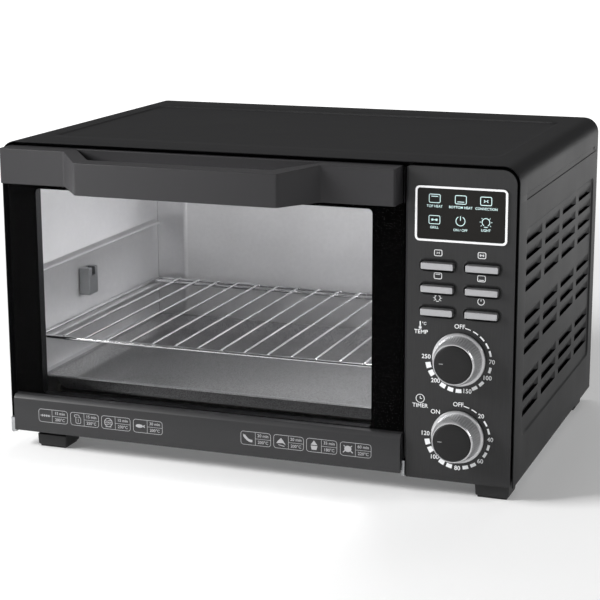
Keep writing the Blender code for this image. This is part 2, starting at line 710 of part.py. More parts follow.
def make_buttons(frame):
    """Six push keys. Each has a flange behind the panel, so that it can't fall out, and a short plunger."""
    for z, names in zip(BUTTON_Z, BUTTON_NAMES):
        for x, name in zip(BUTTON_X, names):
            front = PANEL_FRONT - BUTTON_REACH
            key = box(name, around(0, BUTTON_SIZE[0]), (0, 0.0087), around(0, BUTTON_SIZE[1]), SILVER, frame)
            key.data.transform(Matrix.Translation(key.location))
            key.location = (x, front, z)
            flange = (around(0, 0.0315), (0.0084, 0.0095), around(0, 0.0106))
            plunger = (around(0, 0.005), (0.0092, 0.0099), around(0, 0.004))
            back = boxes(name + "_back", [flange], frame)
            tip = boxes(name + "_tip", [plunger], frame)
            for helper in (back, tip):
                helper.location = key.location
            unite(key, back, tip)


def make_knobs(frame):
    """Two rotary controls: a ribbed skirt, a flat black cap let into it, and the shaft they turn."""
    for name, z in KNOB_Z.items():
        spot = (KNOB_X, PANEL_FRONT - GAP, z)
        top = KNOB_HEIGHT
        rim = CAP_RADIUS + GAP
        profile = [(0, top - 0.003), (rim, top - 0.003), (rim, top), (rim + 0.0009, top)]
        profile += [(rim + 0.0024, top - 0.0030), (KNOB_RADIUS - 0.0012, 0.0042), (KNOB_RADIUS, 0.0030)]
        profile += [(KNOB_RADIUS, 0), (SHAFT_RADIUS + GAP, 0), (SHAFT_RADIUS + GAP, 0.012), (0, 0.012)]
        turned(f"{name}_knob_skirt", profile, SILVER, frame, spot, FACING_FRONT, 40)
        profile = [(0, top + 0.0004), (CAP_RADIUS - 0.0008, top + 0.0004), (CAP_RADIUS, top - 0.0002)]
        profile += [(CAP_RADIUS, top - 0.0027), (0, top - 0.0027)]
        turned(f"{name}_knob_cap", profile, CAP, frame, spot, FACING_FRONT, 40)
        start = (KNOB_X, PANEL_FRONT - GAP - 0.0117, z)
        cylinder(f"{name}_shaft", SHAFT_RADIUS, start, 0.0360, "Y", STEEL, frame, 20)

    bore = SHAFT_RADIUS + 0.0004
    for name, knob, radius, depth in (
        ("thermostat", "temperature", 0.0150, 0.0220),
        ("timer_switch", "timer", 0.0180, 0.0360),
    ):
        spot = (KNOB_X, FRAME_FRONT + SHEET + GAP, KNOB_Z[knob])
        profile = [(0, depth), (radius - 0.003, depth), (radius, depth - 0.003), (radius, 0), (bore, 0)]
        profile += [(bore, 0.007), (0, 0.007)]
        turned(name, profile, STEEL, frame, spot, FACING_BACK, 28)


def make_materials():
    """The oven's finishes, as names that the functions above use."""
    return {
        "COAT": material("black_powder_coat", (0.020, 0.020, 0.022), 0.45),
        "STEEL": material("zinc_plated_steel", (0.42, 0.43, 0.44), 0.35, 1.0),
        "LINING": material("aluminised_steel", (0.62, 0.62, 0.62), 0.32, 1.0),
        "HEATER": material("heater_sheath", (0.16, 0.15, 0.14), 0.5, 0.8),
        "RUBBER": material("black_plastic", (0.018, 0.018, 0.018), 0.6),
        "GLASS": material("clear_glass", (0.85, 0.88, 0.88), 0.03, 0.0, 0.25),
        "BAND": material("dark_grey_trim", (0.055, 0.055, 0.058), 0.38, 0.3),
        "HANDLE": material("textured_handle_plastic", (0.050, 0.050, 0.053), 0.55),
        "FASCIA": material("brushed_black_panel", (0.022, 0.022, 0.023), 0.35, 0.4),
        "SILVER": material("satin_silver", (0.60, 0.60, 0.62), 0.3, 0.9),
        "SMOKED": material("smoked_window", (0.030, 0.028, 0.026), 0.12),
        "CAP": material("matte_black_cap", (0.030, 0.030, 0.032), 0.42),
        "CHROME": material("chrome_wire", (0.75, 0.75, 0.76), 0.12, 1.0),
        "ENAMEL": material("grey_enamel", (0.22, 0.22, 0.23), 0.3, 0.5),
        "BOARD": material("circuit_board_green", (0.03, 0.13, 0.06), 0.5),
        "CERAMIC": material("white_ceramic", (0.75, 0.73, 0.69), 0.5),
    }


clear_scene()
OVEN = collection("toaster_oven")
HELPERS = collection("helpers")
globals().update(make_materials())

oven_frame = bpy.data.objects.new("oven_frame", None)
OVEN.objects.link(oven_frame)
oven_frame.location = (0, FRONT_Y, FOOT_HEIGHT)

make_casing(oven_frame)
make_cavity(oven_frame)
make_right_wall_gear(oven_frame)
make_door(oven_frame)
make_rack(oven_frame)
make_tray(oven_frame)
make_panel(oven_frame)
make_display(oven_frame)
make_buttons(oven_frame)
make_knobs(oven_frame)
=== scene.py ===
"""Toaster oven: what is seen of it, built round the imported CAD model.

The sections follow the oven as it is put together, from the casing to the dials.
Lengths are metres. at() takes the CAD's own measures: y from the casing's front edge, z from its bottom edge.
"""

import math

import bmesh
import bpy
from mathutils import Euler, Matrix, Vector
from mathutils.geometry import tessellate_polygon


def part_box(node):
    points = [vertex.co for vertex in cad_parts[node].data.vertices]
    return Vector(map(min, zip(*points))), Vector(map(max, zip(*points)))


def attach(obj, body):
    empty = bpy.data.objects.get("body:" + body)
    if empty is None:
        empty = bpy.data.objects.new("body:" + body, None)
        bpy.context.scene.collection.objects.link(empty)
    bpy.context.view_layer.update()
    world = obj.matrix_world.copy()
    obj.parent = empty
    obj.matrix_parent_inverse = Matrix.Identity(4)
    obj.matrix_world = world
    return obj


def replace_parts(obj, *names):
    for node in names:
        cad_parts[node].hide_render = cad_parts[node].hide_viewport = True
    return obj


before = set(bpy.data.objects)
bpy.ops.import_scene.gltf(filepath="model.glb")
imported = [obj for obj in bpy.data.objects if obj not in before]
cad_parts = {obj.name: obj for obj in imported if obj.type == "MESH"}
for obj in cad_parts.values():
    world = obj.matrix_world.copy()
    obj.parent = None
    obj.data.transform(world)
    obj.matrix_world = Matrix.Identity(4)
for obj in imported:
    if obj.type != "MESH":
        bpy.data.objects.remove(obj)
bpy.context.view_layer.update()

# ----------------------------
# Studio: a soft sky, three soft lamps round the oven and a weak one inside its
# cavity. The oven stands on the floor at z = 0.
casing_low, casing_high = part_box("outer_shell")
ORIGIN = Vector((0, casing_low.y, casing_low.z))


def at(x, y, z):
    return Vector((x, y, z)) + ORIGIN


camera_data = bpy.data.cameras.new("camera")
camera_data.lens = 104.0
camera = bpy.data.objects.new("camera", camera_data)
camera.location = at(0.5788, -1.4249, 0.5119)
camera.rotation_euler = Euler([math.radians(a) for a in (76.801, 0.202, 20.299)])
bpy.context.scene.collection.objects.link(camera)
bpy.context.scene.camera = camera
bpy.context.scene.view_settings.view_transform = "Standard"

world = bpy.data.worlds.new("studio")
world.use_nodes = True
world.node_tree.nodes["Background"].inputs["Color"].default_value = (1, 1, 1, 1)
world.node_tree.nodes["Background"].inputs["Strength"].default_value = 0.13
bpy.context.scene.world = world


def softbox(name, place, target, size, power):
    data = bpy.data.lights.new(name, "AREA")
    data.shape = "RECTANGLE"
    data.size, data.size_y = size
    data.energy = power
    lamp = bpy.data.objects.new(name, data)
    lamp.location = place
    lamp.rotation_euler = (Vector(target) - Vector(place)).to_track_quat("-Z", "Y").to_euler()
    bpy.context.scene.collection.objects.link(lamp)
    return lamp


softbox("key_light", (-1.8, -1.2, 1.25), (-0.05, 0.0, 0.12), (0.9, 0.9), 80)
softbox("right_light", (1.9, 0.2, 1.0), (0.25, 0.15, 0.15), (0.6, 0.6), 11)
softbox("top_light", (-0.2, 1.2, 2.2), (0.0, 0.1, 0.3), (1.8, 1.0), 10)

lamp_data = bpy.data.lights.new("oven_lamp_light", "POINT")
lamp_data.energy = 1.1
lamp_data.shadow_soft_size = 0.03
oven_lamp = bpy.data.objects.new("oven_lamp_light", lamp_data)
oven_lamp.location = at(0.085, 0.140, 0.222)
bpy.context.scene.collection.objects.link(oven_lamp)

# ----------------------------
# Casing: one sheet of steel bent over both sides and the top, with a powder
# coat. The top and the louvre fields are pressed in, and each louvre is a slot
# with a flap pushed inwards. The front edge is folded back on itself.
class Value:
    """A socket in a material. Arithmetic on it adds Math nodes."""

    def __init__(self, tree, socket):
        self.tree = tree
        self.socket = socket

    def math(self, operation, *others):
        return add_node(self.tree, "Math", {"operation": operation}, dict(enumerate((self, *others))))

    def __add__(self, other):
        return self.math("ADD", other)

    def __mul__(self, other):
        return self.math("MULTIPLY", other)

    def __gt__(self, other):
        return self.math("GREATER_THAN", other)

    __radd__ = __add__
    __rmul__ = __mul__


def add_node(tree, kind, settings=None, sockets=None, output=0):
    """Adds a node: its settings first, then the values or links of its sockets."""
    node = tree.nodes.new("ShaderNode" + kind)
    for name, value in (settings or {}).items():
        if name == "stops":
            ramp = node.color_ramp
            while len(ramp.elements) < len(value):
                ramp.elements.new(0.5)
            for element, (position, colour) in zip(ramp.elements, value):
                element.position = position
                element.color = (*colour, 1)
        else:
            setattr(node, name, value)
    for name, value in (sockets or {}).items():
        if isinstance(value, Value):
            tree.links.new(value.socket, node.inputs[name])
        else:
            node.inputs[name].default_value = value
    return Value(tree, node.outputs[output])


class Finish:
    """A finish of one kind of part: a Principled shader and the nodes that vary it."""

    def __init__(self, name, colour, roughness, metallic=0.0, **fixed):
        self.material = bpy.data.materials.new(name)
        self.material.use_nodes = True
        self.tree = self.material.node_tree
        self.shader = self.tree.nodes["Principled BSDF"]
        self.colour = colour
        self.feed(Base_Color=(*colour, 1), Roughness=roughness, Metallic=metallic, **fixed)

    def node(self, kind, settings=None, sockets=None, output=0):
        return add_node(self.tree, kind, settings, sockets, output)

    def feed(self, **sockets):
        for name, value in sockets.items():
            socket = self.shader.inputs[name.replace("_", " ")]
            if isinstance(value, Value):
                self.tree.links.new(value.socket, socket)
            else:
                socket.default_value = value

    def place(self, stretch=(1, 1, 1)):
        """Where a point is on the oven, with each axis stretched."""
        coordinate = self.node("TexCoord", output=3)
        return self.node("Mapping", None, {"Vector": coordinate, "Scale": stretch})

    def noise(self, scale, detail=2.0, stretch=(1, 1, 1), roughness=0.5):
        sockets = {"Vector": self.place(stretch), "Scale": scale, "Detail": detail, "Roughness": roughness}
        return self.node("TexNoise", None, sockets)

    def blend(self, amount, first, second):
        """One colour turning into another."""
        sockets = {"Factor": amount, 6: (*first, 1), 7: (*second, 1)}
        return self.node("Mix", {"data_type": "RGBA"}, sockets, 2)

    def relief(self, height, depth):
        """Height that runs from 0 to 1, as a bump of that depth in metres."""
        bump = self.node("Bump", None, {"Height": height, "Distance": depth, "Strength": 1.0})
        self.feed(Normal=bump)


def powder_coat():
    """Satin black powder: a fine orange peel, and a little unevenness in its gloss."""
    finish = Finish("black_powder_coat", (0.009, 0.009, 0.0098), 0.42, Specular_IOR_Level=0.15)
    peel = finish.noise(1500, 2)
    patches = finish.noise(14, 3)
    finish.feed(
        Roughness=0.36 + 0.12 * patches,
        Base_Color=finish.blend(patches, (0.0070, 0.0070, 0.0077), (0.0110, 0.0110, 0.0120)),
    )
    finish.relief(peel, 0.00002)
    return finish


coat = powder_coat()


def build(name, points, faces, finish, body, sharp=32, join_flats=False):
    """A piece from its points and faces, shaded smooth up to an angle, riding on a body."""
    data = bpy.data.meshes.new(name)
    data.from_pydata([tuple(p) for p in points], [], faces)
    work = bmesh.new()
    work.from_mesh(data)
    bmesh.ops.recalc_face_normals(work, faces=work.faces)
    if join_flats:
        flat = [e for e in work.edges if len(e.link_faces) == 2 and e.calc_face_angle() < 0.001]
        bmesh.ops.dissolve_edges(work, edges=flat, use_verts=False)
    work.to_mesh(data)
    work.free()
    return piece(name, data, finish, body, sharp)


def piece(name, data, finish, body, sharp=32):
    if hasattr(data, "shade_smooth"):
        data.shade_smooth()
        data.set_sharp_from_angle(angle=math.radians(sharp))
    data.materials.append(finish.material)
    obj = bpy.data.objects.new(name, data)
    bpy.context.scene.collection.objects.link(obj)
    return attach(obj, body)


CASING_RADIUS = 0.015
LOUVRE_DEPTH = 0.0030
LOUVRE_END = 0.008
LOUVRE_ABOVE, LOUVRE_BELOW = 0.0040, 0.0045
LOUVRE_ROWS = [0.2175 - 0.0143 * k for k in (0, 1, 2, 3, 5, 6, 7, 9, 10, 11)]
LOUVRE_STARTS = [0.0355 + 0.0755 * k for k in range(4)]
LOUVRE_LENGTH = 0.0615
FIELD = {"middle": (0.179, 0.1335), "half": (0.1505, 0.0950), "radius": 0.009, "depth": 0.0015, "slope": 0.0026}
TOP_PRESS = {"middle": (-0.001, 0.1755), "half": (0.221, 0.1255), "radius": 0.012, "depth": 0.0015, "slope": 0.003}
RIB = (0.2535, 0.2597, 0.00055)


def pressed(press, u, v):
    """How deep a rounded rectangular pressing is at a point."""
    du = abs(u - press["middle"][0]) - press["half"][0] + press["radius"]
    dv = abs(v - press["middle"][1]) - press["half"][1] + press["radius"]
    outside = math.hypot(max(du, 0), max(dv, 0)) + min(max(du, dv), 0) - press["radius"]
    t = min(max(-outside / press["slope"], 0), 1)
    return press["depth"] * t * t * (3 - 2 * t)


def casing_profile():
    """Points round the casing's front view, each with its outward direction and the flat that it is on."""
    half = casing_high.x
    height = casing_high.z - casing_low.z
    side = {0.0, 0.0015, 0.0385, 0.0392, 0.0398, 0.0404, 0.0411, 0.0430, 0.0455}
    side |= {0.2255, 0.2262, 0.2270, 0.2278, 0.2285}
    side |= {RIB[0], RIB[0] + 0.0008, RIB[1] - 0.0008, RIB[1], height - CASING_RADIUS}
    for z in LOUVRE_ROWS:
        side |= {round(z - LOUVRE_BELOW, 6), round(z + LOUVRE_ABOVE, 6)}
    left = [(-half, z, -1, 0, "side") for z in sorted(side)]
    corner = []
    for i in range(1, 8):
        angle = math.pi / 2 * i / 8
        nx, nz = -math.cos(angle), math.sin(angle)
        x = -half + CASING_RADIUS + CASING_RADIUS * nx
        corner.append((x, height - CASING_RADIUS + CASING_RADIUS * nz, nx, nz, "corner"))
    edge = TOP_PRESS["half"][0]
    top = [-half + CASING_RADIUS, -edge, -edge + 0.001, -edge + 0.002, -edge + 0.003, -edge + 0.006, -edge + 0.012]
    top += [-0.15, -0.08, 0.0]
    top = [(x, height, 0, 1, "top") for x in top]
    start = left + corner + top
    return start + [(-x, z, -nx, nz, kind) for x, z, nx, nz, kind in reversed(start[:-1])]


def casing_rows():
    """Stations from front to back, each with how far the sheet is turned in there."""
    rows = [(0.011, 0.00115), (0.0010, 0.00115), (0.0002, 0.0008), (0.0, 0.0005), (0.0003, 0.0001), (0.0011, 0)]
    depth = casing_high.y - casing_low.y
    stations = {0.0250, 0.0270, 0.0277, 0.0285, 0.0292, 0.0298, 0.0304, 0.0311, 0.0325}
    stations |= {0.3245, 0.3255, 0.3262, 0.3269, 0.3278, 0.3287, 0.3295, 0.3300}
    stations |= {0.0500, 0.0510, 0.0520, 0.0530, 0.0560, 0.0620, 0.1500, 0.2000, 0.2890, 0.2950}
    stations |= {0.2980, 0.2990, 0.3000, 0.3010, 0.3420}
    for start in LOUVRE_STARTS:
        stations |= {round(start, 6), round(start + LOUVRE_LENGTH, 6)}
    rows += [(y, 0) for y in sorted(stations)]
    return rows + [(depth - 0.0012, 0), (depth - 0.0003, 0.0002), (depth, 0.0007), (depth - 0.004, 0.0009)]


def louvre(points, faces, top_front, top_rear, low_front, low_rear, inward):
    """A flap that leans inwards from the slot's top edge. Its ends slope back out to the sheet."""
    length = LOUVRE_LENGTH
    along = [0, 0.002, 0.004, 0.006, 0.008, 0.010, length / 2]
    along += [length - a for a in reversed(along[:-1])]
    steps = 6
    first = len(points)
    for k in range(steps + 1):
        down = k / steps
        for a in along:
            end = min(a, length - a) / LOUVRE_END
            reach = min(end, down)
            soft = max(0.18 - abs(end - down), 0) ** 2 / 0.72
            depth = LOUVRE_DEPTH * max(min(reach - soft, 1), 0)
            front = top_front.lerp(low_front, down * 0.94)
            rear = top_rear.lerp(low_rear, down * (1.0 if a in (0, length) else 0.94))
            points.append(front.lerp(rear, a / length) + inward * depth)
    wide = len(along)
    for k in range(steps):
        for i in range(wide - 1):
            a = first + k * wide + i
            faces.append([a, a + wide, a + wide + 1, a + 1])


def casing():
    profile, rows = casing_profile(), casing_rows()
    points = []
    for y, turned_in in rows:
        for x, z, nx, nz, kind in profile:
            inset = turned_in
            if kind == "side":
                inset += pressed(FIELD, y, z)
                if y > 0.026:
                    rise = min(max((z - RIB[0]) / 0.0008, 0), 1) * min(max((RIB[1] - z) / 0.0008, 0), 1)
                    inset += RIB[2] * rise * min(max((0.345 - y) / 0.01, 0), 1)
            elif kind == "top":
                inset += pressed(TOP_PRESS, x, y)
            points.append(at(x - nx * inset, y, z - nz * inset))
    wide = len(profile)
    stations = {round(y, 6): i for i, (y, turned_in) in enumerate(rows) if turned_in == 0}

    cells = set()
    faces = []
    levels = {(x < 0, round(z, 6)): j for j, (x, z, _, _, kind) in enumerate(profile) if kind == "side"}
    for start in LOUVRE_STARTS:
        first, last = stations[round(start, 6)], stations[round(start + LOUVRE_LENGTH, 6)]
        for z in LOUVRE_ROWS:
            for left in (True, False):
                low, high = (levels[left, round(z + d, 6)] for d in (-LOUVRE_BELOW, LOUVRE_ABOVE))
                cells |= {(i, j) for i in range(first, last) for j in range(min(low, high), max(low, high))}
                corners = [points[i * wide + j] for j in (high, low) for i in (first, last)]
                louvre(points, faces, *corners, Vector((1 if left else -1, 0, 0)))
    for i in range(len(rows) - 1):
        for j in range(wide - 1):
            if (i, j) not in cells:
                a = i * wide + j
                faces.append([a, a + wide, a + wide + 1, a + 1])

    data = bpy.data.meshes.new("casing_wrap")
    data.from_pydata([tuple(p) for p in points], [], faces)
    wrap = piece("casing_wrap", data, coat, "oven", 24)
    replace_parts(wrap, "outer_shell")


casing()

# Screws that hold the wrap to the frame: a domed head with a thin raised cross.


def plated_steel(name="zinc_plated_steel", colour=(0.42, 0.43, 0.44)):
    """Zinc plate on steel sheet: faint drawing lines and cloudy gloss."""
    finish = Finish(name, colour, 0.36, 1.0)
    lines = finish.noise(60, 3, (1, 1, 30))
    clouds = finish.noise(35, 3)
    darker = tuple(c * 0.78 for c in colour)
    finish.feed(Roughness=0.28 + 0.2 * clouds, Base_Color=finish.blend(clouds, darker, colour))
    finish.relief(lines, 0.00001)
    return finish


steel = plated_steel()
blackened = plated_steel("blackened_steel", (0.035, 0.035, 0.037))


def lathe(profile, centre, direction, segments=48):
    """Points and faces of a profile of (radius, height) turned round a direction from a centre."""
    frame_of = Vector((0, 0, 1)).rotation_difference(Vector(direction)).to_matrix()
    points, faces = [], []
    for radius, height in profile:
        for k in range(segments):
            angle = math.tau * k / segments
            spot = Vector((radius * math.cos(angle), radius * math.sin(angle), height))
            points.append(Vector(centre) + frame_of @ spot)
    for i in range(len(profile) - 1):
        for k in range(segments):
            a, b = i * segments + k, i * segments + (k + 1) % segments
            faces.append([a, b, b + segments, a + segments])
    faces.append(list(range(segments))[::-1])
    last = (len(profile) - 1) * segments
    faces.append(list(range(last, last + segments)))
    return points, faces


def screw(name, centre, direction, radius=0.0031):
    """A pan head, flat underneath, with a thin cross of four blades laid on its top."""
    dome = [(radius, 0.0002), (radius, 0.0007), (radius * 0.93, 0.0012), (radius * 0.7, 0.0016)]
    dome += [(radius * 0.62, 0.0017), (radius * 0.2, 0.0017)]
    points, faces = lathe(dome, centre, direction, 24)
    turn = Vector((0, 0, 1)).rotation_difference(Vector(direction)).to_matrix()
    for angle in (0.3, 0.3 + math.pi / 2):
        along = Vector((math.cos(angle), math.sin(angle), 0)) * radius * 0.55
        across = Vector((-math.sin(angle), math.cos(angle), 0)) * radius * 0.11
        base = len(points)
        for height in (0.00172, 0.00178):
            for a, b in ((-1, -1), (1, -1), (1, 1), (-1, 1)):
                points.append(Vector(centre) + turn @ (along * a + across * b + Vector((0, 0, height))))
        faces.append([base + 4, base + 5, base + 6, base + 7])
        faces.append([base + 3, base + 2, base + 1, base])
        faces += [[base + k, base + (k + 1) % 4, base + 4 + (k + 1) % 4, base + 4 + k] for k in range(4)]
    return build(name, points, faces, blackened, "oven")


half_width = casing_high.x
for side, x in (("right", half_width - 0.0018), ("left", -half_width + 0.0018)):
    for number, (y, z) in enumerate(((0.0195, 0.0045), (0.169, 0.0045), (0.299, 0.0045), (0.330, 0.2577))):
        fixing = screw(f"{side}_casing_screw_{number}", at(x, y, z), (math.copysign(1, x), 0, 0))

# ----------------------------
# Rear panel, bottom panel and front sheet: flat steel pressings that close the
# wrap. The rear one has four rows of slots and is screwed on round its edge.


def dress(finish, *names):
    """Gives CAD nodes that stay a better finish."""
    for name in names:
        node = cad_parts[name]
        if not node.material_slots:
            node.data.materials.append(finish.material)
        for slot in node.material_slots:
            slot.material = finish.material


dress(coat, "rear_panel")
dress(steel, "bottom_panel")
dress(blackened, "front_frame")
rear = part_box("rear_panel")[1].y
for number, (x, z) in enumerate(
    ((-0.235, 0.02), (0.235, 0.02), (-0.235, 0.262), (0.235, 0.262), (0.0, 0.272), (-0.235, 0.14), (0.235, 0.14))
):
    fixing = screw(f"rear_screw_{number}", Vector((x, rear - 0.0002, casing_low.z + z)), (0, 1, 0), 0.0034)

# ----------------------------
# Feet and cord gland: black moulded plastic. Each foot is a block that narrows
# downwards, with rounded edges and a thin sole.


def moulded_black(name="black_moulding", colour=(0.010, 0.010, 0.0105), gloss=0.5, shine=0.4):
    """Plain black plastic with the faint texture of a spark-eroded mould."""
    finish = Finish(name, colour, gloss, Specular_IOR_Level=shine)
    grit = finish.noise(2200, 2)
    finish.feed(Roughness=gloss - 0.06 + 0.12 * grit)
    finish.relief(grit, 0.00003)
    return finish


black_plastic = moulded_black()


def rounded(obj, width, segments=2, angle=30):
    """Rounds a piece's edges, and keeps its flats flat."""
    edge = obj.modifiers.new("rounding", "BEVEL")
    edge.width = width
    edge.segments = segments
    edge.limit_method = "ANGLE"
    edge.angle_limit = math.radians(angle)
    edge.harden_normals = True
    return obj


def block(name, low, high, finish, body, taper=1.0):
    """A six-sided block between two corners, whose underside may be smaller."""
    low, high = Vector(low), Vector(high)
    middle = (low + high) / 2
    points = []
    for z in (low.z, high.z):
        shrink = taper if z == low.z else 1.0
        for x, y in ((low.x, low.y), (high.x, low.y), (high.x, high.y), (low.x, high.y)):
            points.append((middle.x + (x - middle.x) * shrink, middle.y + (y - middle.y) * shrink, z))
    faces = [[3, 2, 1, 0], [4, 5, 6, 7]]
    faces += [[k, (k + 1) % 4, 4 + (k + 1) % 4, 4 + k] for k in range(4)]
    return build(name, points, faces, finish, body)


SOLE = 0.0018
SOLE_INSET = Vector((0.0022, 0.0022, 0))
FOOT_TAPER = 0.965
for name in ("left_front_foot", "right_front_foot", "left_rear_foot", "right_rear_foot"):
    low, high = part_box(name)
    foot_low, sole_high = (low.x, low.y, low.z + SOLE), Vector((high.x, high.y, low.z + SOLE))
    foot = block(name.replace("foot", "foot_block"), foot_low, high, black_plastic, "oven", FOOT_TAPER)
    sole = block(name.replace("foot", "foot_sole"), low + SOLE_INSET, sole_high - SOLE_INSET, black_plastic, "oven")
    rounded(foot, 0.0016, 3)
    rounded(sole, 0.0006)
    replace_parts(foot, name)

dress(black_plastic, "cord_gland")

# ----------------------------
# Cavity: bright aluminised sheet. Each side wall has three pressed ledges for
# the rack and the tray, the back has an upright bead at each end, and the floor
# and ceiling are plain. Heaters are rods with a dark sheath.


def aluminised():
    """Aluminised steel: fine rolling lines, a soft spangle and cloudy gloss."""
    finish = Finish("aluminised_steel", (0.66, 0.66, 0.665), 0.34, 0.55)
    clouds = finish.noise(18, 4)
    lines = finish.noise(240, 2, (1, 0.05, 1))
    spangle = finish.node("TexVoronoi", None, {"Vector": finish.place(), "Scale": 260.0})
    tone = 0.75 * clouds + 0.25 * spangle
    finish.feed(
        Base_Color=finish.blend(tone, (0.60, 0.60, 0.61), (0.78, 0.78, 0.79)),
        Roughness=0.38 + 0.16 * clouds,
    )
    finish.relief(0.7 * lines + 0.3 * spangle, 0.00004)
    return finish


lining = aluminised()
left_wall, right_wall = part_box("cavity_left_wall"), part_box("cavity_right_wall")
cavity_floor, cavity_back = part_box("cavity_floor"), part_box("cavity_back_wall")
WALL_LEFT = left_wall[0].x + 0.0008
WALL_RIGHT = right_wall[1].x - 0.0008
LEDGES = (0.0512, 0.0888, 0.1575)
LEDGE_REACH = 0.0105
LEDGE_END = 0.3080


def side_wall(name, wall_x, inward, ledge_end):
    """A wall as a run of levels from the floor up, with each ledge a rolled fold that fades at its ends."""
    levels = [(0.0203, 0)]
    for top in LEDGES:
        levels += [(top - 0.0078, 0), (top - 0.0068, 0.08), (top - 0.0048, 0.55), (top - 0.0030, 0.93)]
        levels += [(top - 0.0018, 1.0), (top - 0.0006, 0.97), (top, 0.88), (top + 0.0002, 0.5), (top + 0.0006, 0.06)]
        levels += [(top + 0.0016, 0)]
    levels += [(0.2110, 0), (0.2678, 0)]
    stations = [0.0164, 0.0200, 0.0212, 0.0226, 0.0240, 0.09, 0.1555, 0.1600, 0.22, 0.3035, 0.3058, 0.3080, 0.3179]
    points = []
    for y in stations:
        for z, out in levels:
            end = ledge_end if z > 0.145 else LEDGE_END
            fade = min(max((y - 0.0200) / 0.0040, 0), 1) * min(max((end - y) / 0.0045, 0), 1)
            points.append(at(wall_x + inward * LEDGE_REACH * out * fade, y, z))
    tall = len(levels)
    faces = []
    for i in range(len(stations) - 1):
        for j in range(tall - 1):
            a = i * tall + j
            faces.append([a, a + tall, a + tall + 1, a + 1])
    wall = build(name, points, faces, lining, "oven", 50)
    return wall


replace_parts(side_wall("left_cavity_wall", WALL_LEFT, 1, LEDGE_END), "cavity_left_wall")
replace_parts(side_wall("right_cavity_wall", WALL_RIGHT, -1, 0.160), "cavity_right_wall")

# The back wall, with an upright bead near each corner.
back_y = cavity_back[0].y
BEADS = (-0.205, 0.101)
BEAD_HALF = 0.0040
BEAD_HEIGHT = 0.0022
points, faces = [], []
columns = [WALL_LEFT]
for x in BEADS:
    columns += [x - BEAD_HALF, x - 0.0028, x - 0.0012, x, x + 0.0012, x + 0.0028, x + BEAD_HALF]
columns += [WALL_RIGHT]
rows = [0.0195, 0.040, 0.0425, 0.045, 0.242, 0.2445, 0.247, 0.2690]
for z in rows:
    for x in columns:
        near = min(abs(x - bead) for bead in BEADS)
        fade = 1.0 if 0.0445 < z < 0.2425 else 0.6 if 0.041 < z < 0.246 else 0.0
        shape = max(0.0, 1 - (near / BEAD_HALF) ** 2) * fade
        points.append(Vector((x, back_y + 0.0002 - BEAD_HEIGHT * shape, casing_low.z + z)))
wide = len(columns)
for i in range(len(rows) - 1):
    for j in range(wide - 1):
        a = i * wide + j
        faces.append([a, a + 1, a + wide + 1, a + wide])
back_sheet = build("back_cavity_wall", points, faces, lining, "oven", 60)
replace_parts(back_sheet, "cavity_back_wall")
dress(lining, "cavity_floor", "cavity_ceiling", "fan_cover", "convection_fan")


def heater_sheath():
    """Dark oxidised sheath with a mottled surface."""
    finish = Finish("heater_sheath", (0.11, 0.10, 0.095), 0.5, 0.75)
    mottle = finish.noise(180, 4)
    finish.feed(
        Base_Color=finish.blend(mottle, (0.05, 0.046, 0.043), (0.19, 0.175, 0.16)),
        Roughness=0.38 + 0.25 * mottle,
    )
    finish.relief(mottle, 0.00005)
    return finish


ceramic = Finish("white_ceramic", (0.62, 0.60, 0.55), 0.55)
ceramic.feed(Roughness=0.45 + 0.2 * ceramic.noise(300))
sheath = heater_sheath()


def tubes(name, runs, radius, finish, body, closed=(), resolution=3):
    """Round wires or rods, each along its own points, as one piece."""
    curve = bpy.data.curves.new(name, "CURVE")
    curve.dimensions = "3D"
    curve.bevel_depth = radius
    curve.bevel_resolution = resolution
    curve.use_fill_caps = True
    for number, run in enumerate(runs):
        spline = curve.splines.new("POLY")
        spline.points.add(len(run) - 1)
        for spot, place in zip(spline.points, run):
            spot.co = (*place, 1)
        spline.use_cyclic_u = number in closed
        spline.use_smooth = True
    return piece(name, curve, finish, body)


for node in ("lower_front_heater", "lower_rear_heater", "upper_front_heater", "upper_rear_heater"):
    low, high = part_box(node)
    y, z = (low.y + high.y) / 2, (low.z + high.z) / 2
    rod = tubes(node + "_rod", [[(low.x + 0.006, y, z), (high.x - 0.006, y, z)]], 0.0032, sheath, "oven", (), 6)
    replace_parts(rod, node)
    points, faces = [], []
    for wall, direction in ((WALL_LEFT, 1), (WALL_RIGHT, -1)):
        collar = [(0.0045, -0.0012), (0.0058, -0.0012), (0.0058, 0.0020), (0.0048, 0.0032), (0.0036, 0.0036)]
        more_points, more_faces = lathe(collar, (wall, y, z), (direction, 0, 0), 24)
        faces += [[k + len(points) for k in face] for face in more_faces]
        points += more_points
    collars = build(node + "_collars", points, faces, ceramic, "oven")

# ----------------------------
# Fan, spit drive and lamp on the cavity's right wall, with their motors behind
# it in the space beside the cavity.


def clear_glass(name, colour, alpha, gloss=0.03):
    """Glass that lets light through, with a little dust on it that varies its gloss."""
    finish = Finish(name, colour, gloss, Alpha=alpha, IOR=1.5, Specular_IOR_Level=0.05)
    dust = finish.noise(30, 4)
    finish.feed(Roughness=gloss + 0.04 * dust)
    return finish


lamp_shade = clear_glass("lamp_glass", (0.9, 0.92, 0.9), 0.35, 0.06)
dress(lamp_shade, "lamp_glass", "lamp_bulb")
dress(ceramic, "lamp_holder")
dress(steel, "fan_motor", "spit_motor", "spit_socket", "spit_rest", "thermostat", "timer_switch")

board_finish = Finish("circuit_board", (0.02, 0.10, 0.045), 0.45)
tracks = board_finish.noise(420, 1, (1, 1, 0.2))
board_finish.feed(Base_Color=board_finish.blend(tracks, (0.012, 0.075, 0.03), (0.035, 0.15, 0.07)))
dress(board_finish, "circuit_board")

# ----------------------------
# Rack and tray. The rack is chromed wire: a rounded frame, a second wire at the
# back, and sixteen cross wires welded on top with their ends over the frame.


